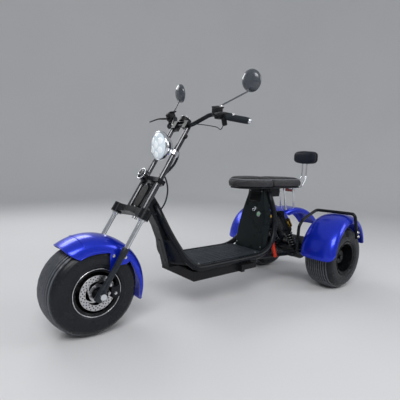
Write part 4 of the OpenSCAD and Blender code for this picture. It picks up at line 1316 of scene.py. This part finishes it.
def ring_tree():
    """Round ring about each point's direction."""
    tree, given = new_tree("ring", Radius="Float", Wire="Float", Finish="Material")
    loop = given["Radius"].node("GeometryNodeCurvePrimitiveCircle", {"Resolution": 40, "Radius": given["Radius"]})
    wire = given["Wire"].node("GeometryNodeCurvePrimitiveCircle", {"Resolution": 10, "Radius": given["Wire"]})
    band = loop.node("GeometryNodeCurveToMesh", {"Curve": loop, "Profile Curve": wire})
    soft = band.node("GeometryNodeSetShadeSmooth", {"Geometry": band})
    return close_tree(tree, on_points(soft, given), given["Finish"])


RING = ring_tree()
spots = []
for back in np.linspace(0.008, 0.108, 18):
    spots += zip(both(tip - grip_way * back), both(grip_way))
ribs = grow("grip_ribs", RING, spots, Radius=0.0166, Wire=0.0018, Finish=mat_rubber)
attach(ribs, "fork")
plug = [(0.0130, 0.0), (0.0155, 0.002), (0.0155, 0.008), (0.013, 0.012), (0.008, 0.015), (0.0, 0.016)]
places = [facing(point, way) for point, way in zip(both(tip + grip_way * 0.0062), both(grip_way))]
ends = put("bar_plugs", chrome, *[lathe(plug, 32, place) for place in places])
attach(ends, "fork")


def block(place, size, round):
    """Box with rounded edges, about its own middle."""
    form = bmesh.new()
    bmesh.ops.create_cube(form, size=1.0, matrix=Matrix.Diagonal((*size, 1)))
    bmesh.ops.bevel(form, geom=form.edges[:], offset=round, segments=3, affect="EDGES", profile=0.5)
    form.verts.index_update()
    shape = [place @ v.co for v in form.verts], [tuple(v.index for v in f.verts) for f in form.faces]
    form.free()
    return shape


perch = tip - grip_way * 0.152
controls = []
lever_end = Vector((FRONT_X - 0.560, 0.394, 1.1020))
reach = [(0.046, -0.004, 0.004), (0.058, 0.030, 0.004), (0.066, 0.080, 0.004)]
lever_line = through([*[perch + Vector(step) for step in reach], lever_end], 8)
lever_taper = np.linspace(0.0062, 0.0042, len(lever_line))
ball = [(0.0068 * math.sin(a), 0.0068 * math.cos(a)) for a in np.linspace(math.pi, 0, 12)]
for y in (1, -1):
    turn = Matrix.Diagonal((1, y, 1, 1)) @ Matrix.Translation(perch)
    lean = Matrix.Rotation(math.radians(-14), 4, "X") @ Matrix.Rotation(math.radians(12), 4, "Y")
    controls += [
        block(turn @ Matrix.Translation((0.010, -0.004, 0.000)), (0.046, 0.040, 0.036), 0.006),
        block(turn @ Matrix.Translation((0.026, -0.006, 0.018)) @ lean, (0.044, 0.046, 0.044), 0.006),
        block(turn @ Matrix.Translation((0.024, -0.005, 0.042)) @ lean, (0.048, 0.050, 0.008), 0.003),
        block(turn @ Matrix.Translation((0.046, -0.004, 0.004)), (0.026, 0.022, 0.014), 0.004),
        tube(lever_line * (1, y, 1), lever_taper, 12),
    ]
cylinders = put("brake_cylinders", moulded_black, *controls)
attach(cylinders, "fork")
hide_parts("brake_controls")
balls = [lathe(ball, 20, Matrix.Translation(point)) for point in both(lever_end)]
lever_balls = put("lever_balls", zinc, *balls)
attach(lever_balls, "fork")

pods = []
pod = tip - grip_way * 0.124
collar = [(0.0115, -0.006), (0.019, -0.006), (0.0205, -0.004), (0.0205, 0.004), (0.019, 0.006), (0.0115, 0.006)]
for middle, way in zip(both(pod), both(grip_way)):
    pods.append(lathe(collar, 36, facing(middle, way), True))
    place = Matrix.Translation(middle + Vector((0.012, 0, -0.026))) @ Matrix.Rotation(0.3, 4, "Y")
    pods.append(block(place, (0.026, 0.020, 0.044), 0.006))
switches = put("switch_housings", moulded_black, *pods)
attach(switches, "fork")
shell_grey = material(
    "mirror_shell",
    clouded((14.0, 4.0, 0.6), (0.030, 0.036, 0.046), (0.070, 0.080, 0.098), (0.20, 0.36)),
    Coat_Weight=0.6, Coat_Roughness=0.08,
)
mirror_silver = material(
    "mirror_silver",
    clouded((20.0, 4.0, 0.6), (0.80, 0.82, 0.85), (0.90, 0.92, 0.94), (0.02, 0.05)),
    Metallic=1.0,
)
cup = [(0.0, 0.0), (0.0555, 0.0), (0.0555, 0.002), (0.0585, 0.001), (0.0590, -0.004), (0.0570, -0.010)]
cup += [(0.0500, -0.018), (0.0380, -0.0245), (0.0220, -0.0285), (0.0, -0.030)]
cups, panes = [], []
for y in (1, -1):
    middle = Vector((FRONT_X - 0.752, y * 0.320, 1.303))
    look = Matrix.Rotation(math.radians(y * 10), 4, "Z") @ Matrix.Rotation(math.radians(-82), 4, "Y")
    place = Matrix.Translation(middle) @ look
    cups.append(lathe(cup, 64, place))
    foot = Vector((perch.x + 0.004, y * (perch.y - 0.004), perch.z + 0.034))
    neck = middle + Vector((0.020, -y * 0.006, -0.058))
    stem = [foot, foot + Vector((-0.002, 0, 0.020)), neck, middle + Vector((0.014, -y * 0.003, -0.020))]
    cups.append(tube(stem, (0.0058, 0.0042, 0.0042, 0.0050), 12))
    holder = Matrix.Translation(middle + Vector((0.017, -y * 0.003, -0.030)))
    cups.append(block(holder, (0.016, 0.016, 0.030), 0.005))
    panes.append(lathe([(0.0, 0.0028), (0.0540, 0.0028), (0.0550, 0.0018)], 64, place))
backs = put("mirror_backs", shell_grey, *cups)
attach(backs, "fork")
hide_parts("mirrors")
glasses = put("mirror_panes", mirror_silver, *panes)
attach(glasses, "fork")
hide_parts("mirror_glass")
nuts = both((perch.x + 0.004, perch.y - 0.004, perch.z + 0.046))
bolts("stem_nuts", "fork", 0.015, [(point, (0, 0, 1)) for point in nuts])

# Wiring: a corrugated sleeve from the back of the lamp down behind the uprights, a cable that
# loops from the yoke to the head tube, and thin leads from the switches to the bar clamp.
bends = [(-0.035, 0.030, 0.850), (-0.060, 0.046, 0.830), (-0.066, 0.052, 0.770)]
bends += [(-0.050, 0.048, 0.700), (-0.030, 0.040, 0.646)]
sleeve = through([up_fork(*bend) for bend in bends], 14)
ribbed = 0.0066 + 0.0009 * np.sin(np.arange(len(sleeve)) * 2.1)
loom = put("lamp_sleeve", mat_rubber, tube(sleeve, ribbed, 12))
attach(loom, "fork")
bends = [(-0.360, 0.062, 0.792), (-0.388, 0.068, 0.776), (-0.406, 0.070, 0.711)]
bends += [(-0.394, 0.066, 0.640), (-0.366, 0.050, 0.590), (-0.340, 0.030, 0.566)]
loop = [Vector((FRONT_X + a, b, c)) for a, b, c in bends]
cable = put("head_cable", mat_rubber, tube(through(loop, 10), 0.0042, 12))
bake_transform(cable)
bends = [(0.014, -0.004, -0.046), (0.010, -0.030, -0.066), (0.012, -0.072, -0.050)]
path = [pod + Vector(bend) for bend in bends]
path += [BAR_MID + Vector(bend) for bend in ((0.000, 0.120, 0.004), (0.008, 0.085, -0.012))]
leads = [tube(through(np.array(path) * (1, y, 1), 8), 0.0024, 8) for y in (1, -1)]
lead = put("switch_leads", mat_rubber, *leads)
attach(lead, "fork")
